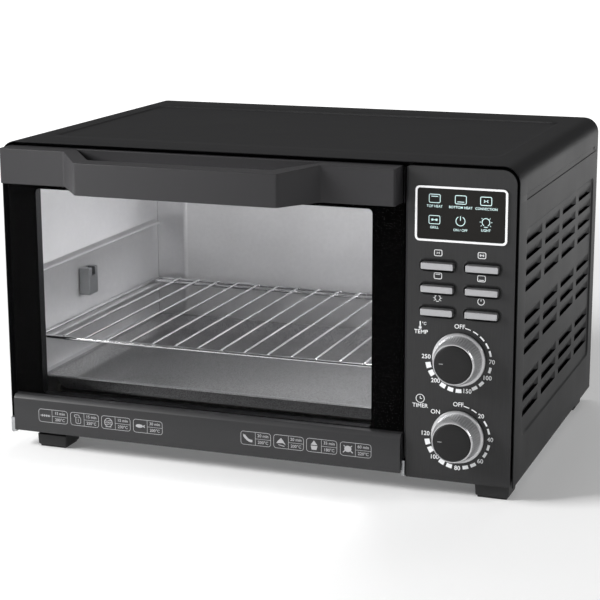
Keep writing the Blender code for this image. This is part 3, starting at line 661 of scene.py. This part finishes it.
def chrome_plate():
    """Bright chrome, a little hazy where it has been heated and handled."""
    finish = Finish("chrome_wire", (0.80, 0.80, 0.81), 0.12, 1.0)
    haze = finish.noise(70, 3)
    finish.feed(Roughness=0.09 + 0.14 * haze, Base_Color=finish.blend(haze, (0.66, 0.66, 0.67), (0.88, 0.88, 0.89)))
    return finish


chrome = chrome_plate()
rack_low, rack_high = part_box("wire_rack")
FRAME_WIRE = 0.0019
CROSS_WIRE = 0.00125
WIRE_COUNT = 16
WIRE_PITCH = 0.0237
rack_left, rack_right = rack_low.x + FRAME_WIRE, rack_high.x - FRAME_WIRE
rack_front, rack_back = rack_low.y + FRAME_WIRE, rack_high.y - FRAME_WIRE
rack_z = rack_low.z + FRAME_WIRE
CORNER = 0.010


def quarter(cx, cz, radius, start, steps=5):
    """A quarter of a circle, anticlockwise from an angle."""
    angles = [math.radians(start + 90 * i / steps) for i in range(steps + 1)]
    return [(cx + radius * math.cos(a), cz + radius * math.sin(a)) for a in angles]


def rounded_outline(x0, x1, z0, z1, radius, steps=6):
    """A rectangle with round corners, as points across a plane."""
    left, right, low, high = x0 + radius, x1 - radius, z0 + radius, z1 - radius
    corners = ((right, high), (left, high), (left, low), (right, low))
    return [point for k, corner in enumerate(corners) for point in quarter(*corner, radius, 90 * k, steps)]


loop = [(x, y, rack_z) for x, y in rounded_outline(rack_left, rack_right, rack_front, rack_back, CORNER)]
second = rack_back - 0.014
back_wire = [(rack_left, second, rack_z), (rack_right, second, rack_z)]
rack_frame = tubes("rack_frame_wires", [loop, back_wire], FRAME_WIRE, chrome, "rack", (0,), 5)
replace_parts(rack_frame, "wire_rack")
middle = (rack_left + rack_right) / 2
cross = []
for k in range(WIRE_COUNT):
    x = middle + WIRE_PITCH * (k - (WIRE_COUNT - 1) / 2)
    high = rack_high.z - CROSS_WIRE
    ends = [(x, rack_front - 0.0006, high - 0.0005), (x, rack_front + 0.002, high)]
    cross.append(ends + [(x, rack_back - 0.002, high), (x, rack_back + 0.0006, high - 0.0005)])
cross_wires = tubes("rack_cross_wires", cross, CROSS_WIRE, chrome, "rack", (), 4)


def enamel():
    """Dark grey speckled enamel on the pressed tray."""
    finish = Finish("speckled_enamel", (0.16, 0.16, 0.165), 0.3, 0.2, Coat_Weight=0.3)
    specks = finish.node("TexVoronoi", None, {"Vector": finish.place(), "Scale": 900.0})
    finish.feed(Base_Color=finish.blend(specks > 0.42, (0.11, 0.11, 0.113), (0.26, 0.26, 0.265)))
    finish.relief(finish.noise(120, 2), 0.00003)
    return finish


tray_low, tray_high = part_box("baking_tray")
RIM, WALL, FLOOR = 0.0068, 0.0108, 0.0155


def tray_ring(inset, z, corner):
    """A rounded rectangle inside the tray's outline."""
    across = tray_low.x + inset, tray_high.x - inset
    deep = tray_low.y + inset, tray_high.y - inset
    return [(x, y, z) for x, y in rounded_outline(*across, *deep, corner, 5)]


top = tray_high.z - 0.0002
levels = [(0.0009, top - 0.0011, 0.011), (0.0001, top - 0.0006, 0.0118), (0.0006, top, 0.0114)]
levels += [(RIM - 0.001, top, 0.007)]
levels += [(RIM, top - 0.0007, 0.0064), (WALL, top - FLOOR + 0.003, 0.009), (WALL + 0.003, top - FLOOR, 0.008)]
levels += [(0.045, top - FLOOR, 0.006), (0.047, top - FLOOR + 0.0006, 0.006), (0.10, top - FLOOR + 0.0006, 0.004)]
points, faces = [], []
for inset, z, corner in levels:
    points += tray_ring(inset, z, corner)
around = 24
for i in range(len(levels) - 1):
    for k in range(around):
        a, b = i * around + k, i * around + (k + 1) % around
        faces.append([a, b, b + around, a + around])
faces.append(list(range((len(levels) - 1) * around, len(levels) * around)))
tray = build("pressed_tray", points, faces, enamel(), "tray", 50)
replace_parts(tray, "baking_tray")

# ----------------------------
# Door: a pane of glass with a black print round its window, a folded steel
# frame behind it, a moulded band below and one moulding above that carries the
# grip. It turns on two pins in the band's ends.
WINDOW_X = (-0.2165, 0.1174)
WINDOW_Z = (0.0414, 0.2420)
WINDOW_CORNER = 0.0045


def plate(name, outline, holes, low, high, finish, body, axis="Y"):
    """A flat outline with holes in it, made solid between two depths along an axis."""
    spot = {
        "X": lambda u, v, w: at(w, u, v),
        "Y": lambda u, v, w: at(u, w, v),
        "Z": lambda u, v, w: at(u, v, w),
    }[axis]
    loops = [outline, *holes]
    flat = [[Vector((u, v, 0)) for u, v in loop] for loop in loops]
    triangles = tessellate_polygon(flat)
    count = sum(len(loop) for loop in loops)
    points = [spot(u, v, w) for w in (low, high) for loop in loops for u, v in loop]
    faces = [list(t) for t in triangles] + [[k + count for k in reversed(t)] for t in triangles]
    base = 0
    for loop in loops:
        n = len(loop)
        faces += [[base + k, base + (k + 1) % n, base + count + (k + 1) % n, base + count + k] for k in range(n)]
        base += n
    return build(name, points, faces, finish, body, join_flats=True)


tinted = clear_glass("tinted_door_glass", (0.010, 0.010, 0.010), 0.10, 0.02)
dress(tinted, "door_glass")
print_black = moulded_black("black_glass_print", (0.0003, 0.0003, 0.0003), 0.2, 0.0)
pane_low, pane_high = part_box("door_glass")
edge = rounded_outline(pane_low.x + 0.0003, pane_high.x - 0.0003, 0.0414, 0.2489, 0.001, 2)
window = rounded_outline(*WINDOW_X, *WINDOW_Z, WINDOW_CORNER, 8)
glass_print = plate("glass_border_print", edge, [window], 0.00303, 0.00325, print_black, "door")
dress(blackened, "door_inner_frame")
dress(steel, "left_door_arm", "right_door_arm", "left_hinge_pin", "right_hinge_pin")
dress(steel, "left_hinge_bracket", "right_hinge_bracket", "left_door_spring", "right_door_spring")


def smooth_grey():
    """Dark grey moulding with a satin paint, a little brighter where it catches the light."""
    finish = Finish("dark_grey_band", (0.027, 0.027, 0.028), 0.36, 0.0, Specular_IOR_Level=0.3)
    fleck = finish.noise(2600, 1)
    drift = finish.noise(9, 2)
    finish.feed(
        Base_Color=finish.blend(fleck, (0.024, 0.024, 0.025), (0.037, 0.037, 0.0385)),
        Roughness=0.33 + 0.08 * drift,
    )
    finish.relief(fleck, 0.00001)
    return finish


band_finish = smooth_grey()
band_low, band_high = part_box("door_lower_trim")
band_section = [(-0.0080, 0.0050), (-0.0080, 0.0368), (-0.0076, 0.0376), (-0.0052, 0.0402), (-0.0044, 0.0408)]
band_section += [(0.0030, 0.0408), (0.0030, 0.0134), (-0.0046, 0.0134), (-0.0046, 0.0050)]
band = plate("lower_door_band", band_section, [], band_low.x, band_high.x, band_finish, "door", "X")
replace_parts(rounded(band, 0.0004, 2), "door_lower_trim")


def textured_plastic():
    """The grip's plastic: a leathery grain with a faint sparkle."""
    finish = Finish("textured_handle_plastic", (0.022, 0.0213, 0.0228), 0.5, Specular_IOR_Level=0.3)
    grain = finish.noise(1300, 3)
    fleck = finish.noise(3000, 1)
    finish.feed(
        Base_Color=finish.blend(fleck, (0.013, 0.0126, 0.0137), (0.036, 0.035, 0.0375)),
        Roughness=0.40 + 0.22 * grain,
    )
    finish.relief(grain, 0.00009)
    return finish


grip_finish = textured_plastic()
door_middle = (band_low.x + band_high.x) / 2
GRIP_HALF = 0.0987
HANDLE_LOW, HANDLE_HIGH = 0.2495, 0.2825
GRIP_LOW, GRIP_HIGH = 0.2486, 0.2782
half = [(GRIP_HALF - 0.0040, -0.0560), (GRIP_HALF - 0.0016, -0.0556), (GRIP_HALF - 0.0002, -0.0544)]
half += [(GRIP_HALF + 0.0012, -0.0526), (GRIP_HALF + 0.0254, -0.0222), (GRIP_HALF + 0.0266, -0.0213)]
half += [(GRIP_HALF + 0.0282, -0.0210), (0.1914, -0.0208), (0.1926, -0.0200)]
half += [(0.1930, -0.0182), (0.1930, 0.0030)]
outline = [(door_middle - x, y) for x, y in reversed(half)] + [(door_middle + x, y) for x, y in half]
gap = [(0.1214, -0.0026), (0.0906, -0.0420), (0.0874, -0.0440)]
gap = [(door_middle - x, y) for x, y in gap] + [(door_middle + x, y) for x, y in reversed(gap)]
grip = plate("door_grip", outline, [gap], HANDLE_LOW, HANDLE_HIGH, grip_finish, "door", "Z")
for vertex in grip.data.vertices:
    y = vertex.co.y - ORIGIN.y
    out = min(max((-0.0213 - y) / (0.0560 - 0.0213), 0), 1)
    high = vertex.co.z - ORIGIN.z > 0.26
    vertex.co.z += out * ((GRIP_HIGH - HANDLE_HIGH) if high else (GRIP_LOW - HANDLE_LOW))
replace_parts(rounded(grip, 0.0009, 3, 25), "door_handle")

# Markings on the band: eight rounded boxes, each with a dish and its time and
# heat, screen-printed in pale grey.
print_grey = Finish("pale_grey_print", (0.42, 0.42, 0.43), 0.5)
print_grey.feed(Roughness=0.42 + 0.15 * print_grey.noise(900))
print_white = Finish("white_print", (0.84, 0.85, 0.86), 0.5)
print_white.feed(Roughness=0.42 + 0.15 * print_white.noise(900))


class Print:
    """Ink on an upright surface: lines, filled shapes and words, gathered into one piece."""

    def __init__(self, y):
        self.y = y
        self.points, self.faces = [], []
        self.words = []

    def shape(self, outline):
        base = len(self.points)
        self.points += [at(x, self.y, z) for x, z in outline]
        for triangle in tessellate_polygon([[Vector((x, z, 0)) for x, z in outline]]):
            self.faces.append([base + k for k in triangle])

    def line(self, run, width, closed=False):
        """A ribbon along a run of (x, z) points, mitred where it turns."""
        count = len(run)
        sides = []
        for k in range(count):
            before = run[k - 1] if k or closed else run[k]
            after = run[(k + 1) % count] if k < count - 1 or closed else run[k]
            into = Vector((run[k][0] - before[0], run[k][1] - before[1]))
            out = Vector((after[0] - run[k][0], after[1] - run[k][1]))
            into = into.normalized() if into.length else out.normalized()
            out = out.normalized() if out.length else into
            normal = Vector((-(into.y + out.y), into.x + out.x))
            normal = normal.normalized() if normal.length > 1e-9 else Vector((-into.y, into.x))
            reach = width / 2 / max(0.5, normal.dot(Vector((-into.y, into.x))))
            sides.append((normal.x * reach, normal.y * reach))
        base = len(self.points)
        for (x, z), (dx, dz) in zip(run, sides):
            self.points += [at(x + dx, self.y, z + dz), at(x - dx, self.y, z - dz)]
        for k in range(count if closed else count - 1):
            a, b = base + 2 * k, base + 2 * ((k + 1) % count)
            self.faces.append([a, a + 1, b + 1, b])

    def circle(self, x, z, radius, width, start=0, end=360, steps=24):
        angles = [math.radians(start + (end - start) * i / steps) for i in range(steps + 1)]
        closed = end - start == 360
        run = [(x + radius * math.sin(a), z + radius * math.cos(a)) for a in angles]
        self.line(run[:-1] if closed else run, width, closed)

    def word(self, text, x, z, size):
        self.words.append((text, x, z, size))

    def finished(self, name, finish, body):
        texts = []
        for text, x, z, size in self.words:
            data = bpy.data.curves.new(name, "FONT")
            data.body = text
            data.size = size
            data.align_x, data.align_y = "CENTER", "CENTER"
            data.resolution_u = 3
            data.offset = size * 0.012
            obj = bpy.data.objects.new(name, data)
            obj.location = (x, z, 0)
            bpy.context.scene.collection.objects.link(obj)
            texts.append(obj)
        bpy.context.view_layer.update()
        graph = bpy.context.evaluated_depsgraph_get()
        for obj in texts:
            mesh = bpy.data.meshes.new_from_object(obj.evaluated_get(graph))
            base = len(self.points)
            for vertex in mesh.vertices:
                self.points.append(at(obj.location.x + vertex.co.x, self.y, obj.location.y + vertex.co.y))
            self.faces += [[base + k for k in face.vertices] for face in mesh.polygons]
            bpy.data.meshes.remove(mesh)
        for obj in texts:
            bpy.data.objects.remove(obj)
        made = build(name, self.points, self.faces, finish, body)
        return made


def oval(x, z, wide, high, steps=16):
    angles = [math.tau * i / steps for i in range(steps)]
    return [(x + wide * math.cos(a), z + high * math.sin(a)) for a in angles]


def skewer(ink, x, z):
    ink.line([(x - 0.0058, z), (x + 0.0058, z)], 0.0004)
    for shift in (-0.0034, -0.0011, 0.0013, 0.0036):
        ink.shape(oval(x + shift, z, 0.0009, 0.0012, 8))


def steak(ink, x, z):
    ink.line(rounded_outline(x - 0.0030, x + 0.0020, z + 0.0018, z + 0.0042, 0.0009, 3), 0.0005, True)
    ink.line(rounded_outline(x - 0.0016, x + 0.0036, z - 0.0042, z + 0.0018, 0.0011, 3), 0.0005, True)
    ink.line([(x + 0.0010, z + 0.0006), (x + 0.0010, z - 0.0030)], 0.0004)


def loaf(ink, x, z):
    ink.circle(x, z, 0.0041, 0.0006)
    for shift in (-0.0017, 0.0, 0.0017):
        wave = ((-0.0036, 0), (-0.0012, -0.0006), (0.0012, 0.0006), (0.0036, 0))
        ink.line([(x + dx, z + shift + dz) for dx, dz in wave], 0.0005)
    ink.line([(x - 0.0030, z - 0.0042), (x + 0.0030, z - 0.0042)], 0.0006)


def fish(ink, x, z):
    ink.shape(oval(x - 0.0010, z, 0.0038, 0.0017))
    ink.shape([(x + 0.0018, z), (x + 0.0050, z + 0.0016), (x + 0.0042, z), (x + 0.0050, z - 0.0016)])


def sausage(ink, x, z):
    bend = []
    for t in (k / 8 for k in range(9)):
        bend.append((x - 0.0042 + 0.0084 * t, z + 0.0026 - 0.0052 * t - 0.0016 * math.sin(math.pi * t)))
    ink.line(bend, 0.0024)
    ink.line([(bend[0][0] - 0.0008, bend[0][1] + 0.0010), bend[0]], 0.0007)


def croissant(ink, x, z):
    horn = [(x - 0.0046, z - 0.0018), (x - 0.0030, z + 0.0006), (x, z + 0.0036)]
    ink.shape(horn + [(x + 0.0020, z + 0.0012), (x + 0.0048, z - 0.0030), (x + 0.0016, z - 0.0012)])
    ink.line([(x - 0.0026, z - 0.0030), (x + 0.0004, z - 0.0036), (x + 0.0034, z - 0.0042)], 0.0007)


def cupcake(ink, x, z):
    ink.shape([(x - 0.0032, z + 0.0004), (x, z + 0.0046), (x + 0.0034, z + 0.0004)])
    ink.shape([(x - 0.0032, z - 0.0004), (x + 0.0034, z - 0.0004), (x + 0.0024, z - 0.0042), (x - 0.0022, z - 0.0042)])


def roast(ink, x, z):
    ink.shape(oval(x, z + 0.0002, 0.0034, 0.0030))
    for side in (-1, 1):
        ink.line([(x + side * 0.0026, z - 0.0014), (x + side * 0.0046, z - 0.0034)], 0.0010)
        ink.line([(x + side * 0.0024, z + 0.0020), (x + side * 0.0040, z + 0.0034)], 0.0008)


ink = Print(-0.00806)
BOX_Z = (0.0162, 0.0289)
boxes = (
    (-0.2160, -0.1851, skewer, "15", "200"),
    (-0.1817, -0.1519, steak, "15", "250"),
    (-0.1487, -0.1185, loaf, "15", "230"),
    (-0.1152, -0.0852, fish, "30", "200"),
    (-0.0054, 0.0241, sausage, "20", "200"),
    (0.0271, 0.0563, croissant, "20", "200"),
    (0.0592, 0.0885, cupcake, "35", "180"),
    (0.0918, 0.1211, roast, "60", "220"),
)
for x0, x1, dish, minutes, heat in boxes:
    ink.line(rounded_outline(x0, x1, *BOX_Z, 0.0026, 4), 0.00042, True)
    split = x0 + 0.0144
    level = sum(BOX_Z) / 2
    ink.line([(split, BOX_Z[0]), (split, BOX_Z[1])], 0.00036)
    ink.line([(split, level), (x1, level)], 0.00036)
    dish(ink, (x0 + split) / 2, level)
    column = (split + x1) / 2
    ink.word(minutes + " min", column, level + 0.0032, 0.0040)
    ink.word(heat + "°C", column, level - 0.0032, 0.0040)
ink.finished("band_markings", print_grey, "door")

# ----------------------------
# Control panel: a moulded cover faced with brushed black film. It has a window
# opening, six wells with round ends for the keys and two holes for the shafts.


def brushed_black():
    """Black film with fine upright brushing."""
    finish = Finish("brushed_black_film", (0.020, 0.020, 0.0205), 0.38, 0.35)
    brushing = finish.noise(240, 3, (12, 1, 0.25))
    finish.feed(
        Base_Color=finish.blend(brushing, (0.013, 0.013, 0.0135), (0.032, 0.032, 0.033)),
        Roughness=0.32 + 0.14 * brushing,
    )
    finish.relief(brushing, 0.000012)
    return finish


film = brushed_black()
panel_low, panel_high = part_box("control_panel")
PX0, PX1 = panel_low.x, panel_high.x
PZ0, PZ1 = 0.0008, 0.2832
PANEL_FRONT = -0.0020
KNOB_X = 0.1996
KNOB_Z = {"temperature": 0.1141, "timer": 0.0434}
KEY_NAMES = (
    ("convection_button", "rotisserie_button"),
    ("top_heat_button", "bottom_heat_button"),
    ("light_button", "power_button"),
)
KEY_X = (0.1793, 0.2193)
KEY_Z = (0.1967, 0.1761, 0.1555)
WELL = (0.0340, 0.0114)


def panel_outline(inset):
    """The panel's outline, with a large round corner at the top right that follows the casing."""
    x0, x1, z0, z1 = PX0 + inset, PX1 - inset, PZ0 + inset, PZ1 - inset
    big = 0.0125 - inset
    outline = quarter(x1 - big, z1 - big, big, 0, 8) + quarter(x0 + 0.001, z1 - 0.001, 0.001, 90, 2)
    return outline + quarter(x0 + 0.001, z0 + 0.001, 0.001, 180, 2) + quarter(x1 - 0.002, z0 + 0.002, 0.002, 270, 3)


well_outlines, key_holes = [], []
for z in KEY_Z:
    for x in KEY_X:
        w, h = WELL[0] / 2, WELL[1] / 2
        well_outlines.append(rounded_outline(x - w, x + w, z - h, z + h, 0.0050, 6))
        key_holes.append(rounded_outline(x - 0.0149, x + 0.0149, z - 0.0034, z + 0.0034, 0.0006, 2))
bezel_low, bezel_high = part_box("display_bezel")
BX0, BX1, BZ0, BZ1 = bezel_low.x, bezel_high.x, 0.2181, 0.2668
display_hole = rounded_outline(BX0 + 0.0015, BX1 - 0.0015, BZ0 + 0.0015, BZ1 - 0.0015, 0.003, 4)
shaft_holes = [oval(KNOB_X, z, 0.0045, 0.0045, 24) for z in KNOB_Z.values()]
face_holes = [display_hole, *well_outlines, *shaft_holes]
face = plate("panel_face", panel_outline(0), face_holes, PANEL_FRONT, 0.0, film, "oven")
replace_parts(rounded(face, 0.00045, 2), "control_panel")
back_holes = [display_hole, *key_holes, *shaft_holes]
back = plate("panel_back", panel_outline(0.0002), back_holes, 0.0, 0.0005, black_plastic, "oven")
rim = plate("panel_rim", panel_outline(0.0003), [panel_outline(0.0022)], 0.0005, 0.0120, black_plastic, "oven")

# Raised lips round the key wells.
lips = []
for outline in well_outlines:
    lips.append([at(x, PANEL_FRONT - 0.00005, z) for x, z in outline])
well_lips = tubes("key_well_lips", lips, 0.00035, film, "oven", tuple(range(6)), 2)

# ----------------------------
# Indicator window: a bright frame round a smoked pane, with six symbols printed
# behind it. The symbols are lit in a cold white.


def silver_paint(name="satin_silver", colour=(0.58, 0.58, 0.59), gloss=0.3):
    """Silver lacquer on plastic: tiny flakes in a satin coat."""
    finish = Finish(name, colour, gloss, 0.7)
    flakes = finish.noise(4200, 1)
    finish.feed(
        Base_Color=finish.blend(flakes, tuple(c * 0.88 for c in colour), tuple(min(1, c * 1.12) for c in colour)),
        Roughness=gloss - 0.04 + 0.1 * flakes,
    )
    return finish


silver = silver_paint()
bright_silver = silver_paint("bright_silver", (0.86, 0.86, 0.87), 0.24)
ring = plate(
    "indicator_frame",
    rounded_outline(BX0, BX1, BZ0, BZ1, 0.0042, 6),
    [rounded_outline(BX0 + 0.0020, BX1 - 0.0020, BZ0 + 0.0020, BZ1 - 0.0020, 0.0024, 6)],
    -0.0036,
    PANEL_FRONT,
    bright_silver,
    "oven",
)
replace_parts(rounded(ring, 0.0006, 3), "display_bezel")

smoked = Finish("smoked_window", (0.009, 0.0082, 0.0074), 0.14, 0.0, Specular_IOR_Level=0.12)
smoke_tone = smoked.blend(smoked.noise(12), (0.009, 0.0082, 0.0074), (0.013, 0.0119, 0.0107))
smoked.feed(Roughness=0.12 + 0.05 * smoked.noise(60), Base_Color=smoke_tone)
dress(smoked, "display_window")

lit = Finish("lit_symbol", (0.62, 0.80, 0.80), 0.5, Emission_Color=(0.62, 0.86, 0.86, 1), Emission_Strength=0.28)
lit.feed(Roughness=0.45 + 0.1 * lit.noise(500))
LINE = 0.0006


def heat_box(ink, x, z, size, width, bar):
    """An oven's outline with a bar near its top or bottom."""
    w, h = size
    ink.line(rounded_outline(x - w, x + w, z - h, z + h, 0.0011, 3), width, True)
    if bar:
        ink.line([(x - w * 0.62, z + bar * h * 0.52), (x + w * 0.62, z + bar * h * 0.52)], width)


def fan_symbol(ink, x, z, size, width):
    heat_box(ink, x, z, size, width, 0)
    r = size[1] * 0.52
    for turn in (0, 180):
        a = math.radians(turn)
        for sx, sz in ((1, 0.75), (-1, 0.75)):
            tip = (x + math.cos(a) * sx * r, z + math.cos(a) * sz * r)
            side = (x + math.cos(a) * sx * r * 0.95, z + math.cos(a) * sz * r * 0.2)
            ink.shape([(x, z), tip, side])


def spit_symbol(ink, x, z, size, width):
    heat_box(ink, x, z, size, width, 0)
    w = size[0]
    ink.line([(x - w * 0.62, z), (x + w * 0.62, z)], width)
    for side in (-1, 1):
        near, far = x + side * w * 0.20, x + side * w * 0.52
        ink.shape([(near, z - 0.0008), (far, z - 0.0011), (far, z + 0.0011), (near, z + 0.0008)])


def power_symbol(ink, x, z, size, width):
    r = size[1] * 1.12
    ink.circle(x, z, r, width, 28, 332)
    ink.line([(x, z + r * 1.08), (x, z + r * 0.1)], width)


def bulb_symbol(ink, x, z, size, width):
    r = size[1] * 0.95
    ink.circle(x, z + 0.0003, r, width, -150, 150, 16)
    ink.line([(x - r * 0.5, z - r * 1.15), (x + r * 0.5, z - r * 1.15)], width)
    for turn in (-125, -85, -45, 45, 85, 125):
        a = math.radians(turn)
        dx, dz = math.sin(a), math.cos(a)
        ink.line([(x + dx * r * 1.28, z + dz * r * 1.28), (x + dx * r * 1.62, z + dz * r * 1.62)], width * 0.8)


glow = Print(-0.00296)
BIG = (0.0049, 0.0036)
heat_box(glow, 0.1756, 0.2558, BIG, LINE, 1)
heat_box(glow, 0.1988, 0.2558, BIG, LINE, -1)
fan_symbol(glow, 0.2211, 0.2558, BIG, LINE)
spit_symbol(glow, 0.1756, 0.2372, BIG, LINE)
power_symbol(glow, 0.1988, 0.2372, BIG, LINE)
bulb_symbol(glow, 0.2213, 0.2372, BIG, LINE)
for text, x, z in (
    ("TOP HEAT", 0.1756, 0.2490),
    ("BOTTOM HEAT", 0.1988, 0.2490),
    ("CONVECTION", 0.2215, 0.2490),
    ("GRILL", 0.1756, 0.2304),
    ("ON / OFF", 0.1988, 0.2292),
    ("LIGHT", 0.2213, 0.2304),
):
    glow.word(text, x, z, 0.0030)
glow.finished("indicator_symbols", lit, "oven")

# ----------------------------
# Keys: six silver caps on plungers. Each springs out of its well, and its
# symbol is printed above it.
key_silver = silver_paint("key_silver", (0.42, 0.42, 0.43), 0.36)
KEY = (0.0288, 0.0058)
KEY_FRONT, KEY_BACK = -0.0072, 0.0014
for z, names in zip(KEY_Z, KEY_NAMES):
    for x, name in zip(KEY_X, names):
        w, h = KEY[0] / 2, KEY[1] / 2
        cap_outline = rounded_outline(x - w, x + w, z - h, z + h, 0.0009, 3)
        cap = plate(name.replace("button", "key"), cap_outline, [], KEY_FRONT, KEY_BACK, key_silver, name)
        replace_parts(rounded(cap, 0.0005, 3), name)
        flange_outline = rounded_outline(x - 0.0157, x + 0.0157, z - 0.0040, z + 0.0040, 0.001, 3)
        flange_name = name.replace("button", "key_flange")
        flange = rounded(plate(flange_name, flange_outline, [], KEY_BACK, 0.0024, black_plastic, name), 0.0002)

ink = Print(PANEL_FRONT - 0.00006)
SMALL = (0.0034, 0.0026)
THIN = 0.0006
fan_symbol(ink, 0.1792, 0.2080, SMALL, THIN)
spit_symbol(ink, 0.2182, 0.2082, SMALL, THIN)
heat_box(ink, 0.1792, 0.1876, SMALL, THIN, 1)
heat_box(ink, 0.2182, 0.1878, SMALL, THIN, -1)
bulb_symbol(ink, 0.1792, 0.1676, SMALL, THIN)
power_symbol(ink, 0.2182, 0.1674, SMALL, THIN)

# ----------------------------
# Dials: a ribbed silver skirt with a flange, a dark cap let into a bright ring,
# and a pointer mark. The scales get bolder clockwise.
DIAL_RADIUS = 0.0288
DASH_ANGLE = 5.2


def scale(knob, labels):
    """Dashes every 15 degrees clockwise from the top, with a label in place of some."""
    z = KNOB_Z[knob]
    for step in range(1, 18):
        if step in labels:
            continue
        angle = 15 * step
        thick = 0.0006 + 0.00024 * step
        outline = []
        for radius, turns in ((DIAL_RADIUS - thick / 2, (-1, 0, 1)), (DIAL_RADIUS + thick / 2, (1, 0, -1))):
            for turn in turns:
                a = math.radians(angle + turn * DASH_ANGLE)
                outline.append((KNOB_X + radius * math.sin(a), z + radius * math.cos(a)))
        ink.shape(outline)
    for step, text in labels.items():
        a = math.radians(15 * step)
        reach = DIAL_RADIUS + (0.0006 if step not in (18, 15) else 0.0012)
        ink.word(text, KNOB_X + reach * math.sin(a), z + reach * math.cos(a), 0.0056)


scale("temperature", {0: "OFF", 6: "70", 8: "100", 11: "150", 15: "200", 18: "250"})
scale("timer", {0: "OFF", 3: "20", 6: "40", 9: "60", 12: "80", 15: "100", 18: "120", 21: "ON"})
ink.word("TEMP", 0.1646, 0.1362, 0.0052)
ink.word("TIMER", 0.1646, 0.0686, 0.0052)
ink.word("°C", 0.1674, 0.1438, 0.0038)
ink.line([(0.1638, 0.1458), (0.1638, 0.1404)], 0.0011)
ink.shape(oval(0.1638, 0.1402, 0.0014, 0.0014, 12))
ink.circle(0.1646, 0.0752, 0.0038, 0.0006)
ink.line([(0.1646, 0.0774), (0.1646, 0.0752), (0.1664, 0.0752)], 0.0006)
ink.finished("panel_markings", print_white, "oven")

cap_black = moulded_black("dark_cap", (0.012, 0.012, 0.0123), 0.42, 0.25)
RIBS = 56
RIB_SAMPLES = 4
RIB_DEPTH, RIB_FADE = 0.00055, 0.0003
SKIRT_TOP = 0.0200
DIAL_BACK = PANEL_FRONT - 0.0003
for knob, z in KNOB_Z.items():
    centre = at(KNOB_X, DIAL_BACK, z)
    front = (0, -1, 0)
    flange = [(0.0060, 0.0001), (0.0236, 0.0001), (0.0240, 0.0005), (0.0240, 0.0020), (0.0236, 0.0026)]
    flange += [(0.0226, 0.0029), (0.0060, 0.0029)]
    points, faces = lathe(flange, centre, front, 96)
    disc = build(f"{knob}_dial_flange", points, faces, silver, f"{knob}_knob")

    profile = [(0.0060, 0.0026), (0.0218, 0.0026), (0.0216, 0.0034), (0.0209, 0.0080), (0.0200, 0.0140)]
    profile += [(0.0191, 0.0180), (0.0186, 0.0192), (0.0180, SKIRT_TOP), (0.0174, SKIRT_TOP), (0.0171, 0.0190)]
    profile += [(0.0168, 0.0168), (0.0060, 0.0168)]
    count = RIBS * RIB_SAMPLES
    points, faces = lathe(profile, centre, front, count)
    for ring_number in (2, 3, 4, 5):
        for k in range(count):
            if k % RIB_SAMPLES in (0, 1):
                continue
            point = points[ring_number * count + k]
            radial = point - centre
            radial.y = 0
            points[ring_number * count + k] = point - radial.normalized() * (RIB_DEPTH if ring_number < 5 else RIB_FADE)
    skirt = build(f"{knob}_dial_skirt", points, faces, silver, f"{knob}_knob", 50)
    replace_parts(skirt, f"{knob}_knob_skirt")

    profile = [(0.0169, 0.0168), (0.0169, 0.0194), (0.0166, 0.0198), (0.0158, 0.0200), (0.0080, 0.0199)]
    points, faces = lathe(profile, centre, front, 72)
    cap = build(f"{knob}_dial_cap", points, faces, cap_black, f"{knob}_knob", 40)
    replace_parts(cap, f"{knob}_knob_cap")
    mark = Print(DIAL_BACK - 0.02006)
    mark.line([(KNOB_X - 0.0128, z), (KNOB_X - 0.0092, z)], 0.0006)
    mark.finished(f"{knob}_dial_mark", print_grey, f"{knob}_knob")
dress(steel, "temperature_shaft", "timer_shaft")

# ----------------------------
# Floor: a pale surface under the feet that glows, with painted shade round the oven: its glow is dim close by and gets
# brighter further out.
ground = Finish("pale_floor", (0.90, 0.90, 0.90), 0.8, Emission_Strength=1.0)
away = ground.node("VectorMath", {"operation": "LENGTH"}, {0: ground.place()}, 1)
# Painted shade: the floor's glow is dim within half a metre of the oven's middle and reaches full strength only 2.6 m
# out, standing in for the shade the oven casts round itself.
span = {"Value": away, "From Min": 0.5, "From Max": 2.6, "To Min": 0.12, "To Max": 1.0}
glow_with_painted_shade = ground.node("MapRange", {"interpolation_type": "SMOOTHSTEP"}, span)
ground.feed(Roughness=0.75 + 0.1 * ground.noise(3), Emission_Color=ground.blend(glow_with_painted_shade, (0, 0, 0), (1, 1, 1)))
data = bpy.data.meshes.new("floor")
data.from_pydata([(-40, -40, 0), (40, -40, 0), (40, 40, 0), (-40, 40, 0)], [], [[0, 1, 2, 3]])
data.materials.append(ground.material)
floor = bpy.data.objects.new("floor", data)
bpy.context.scene.collection.objects.link(floor)
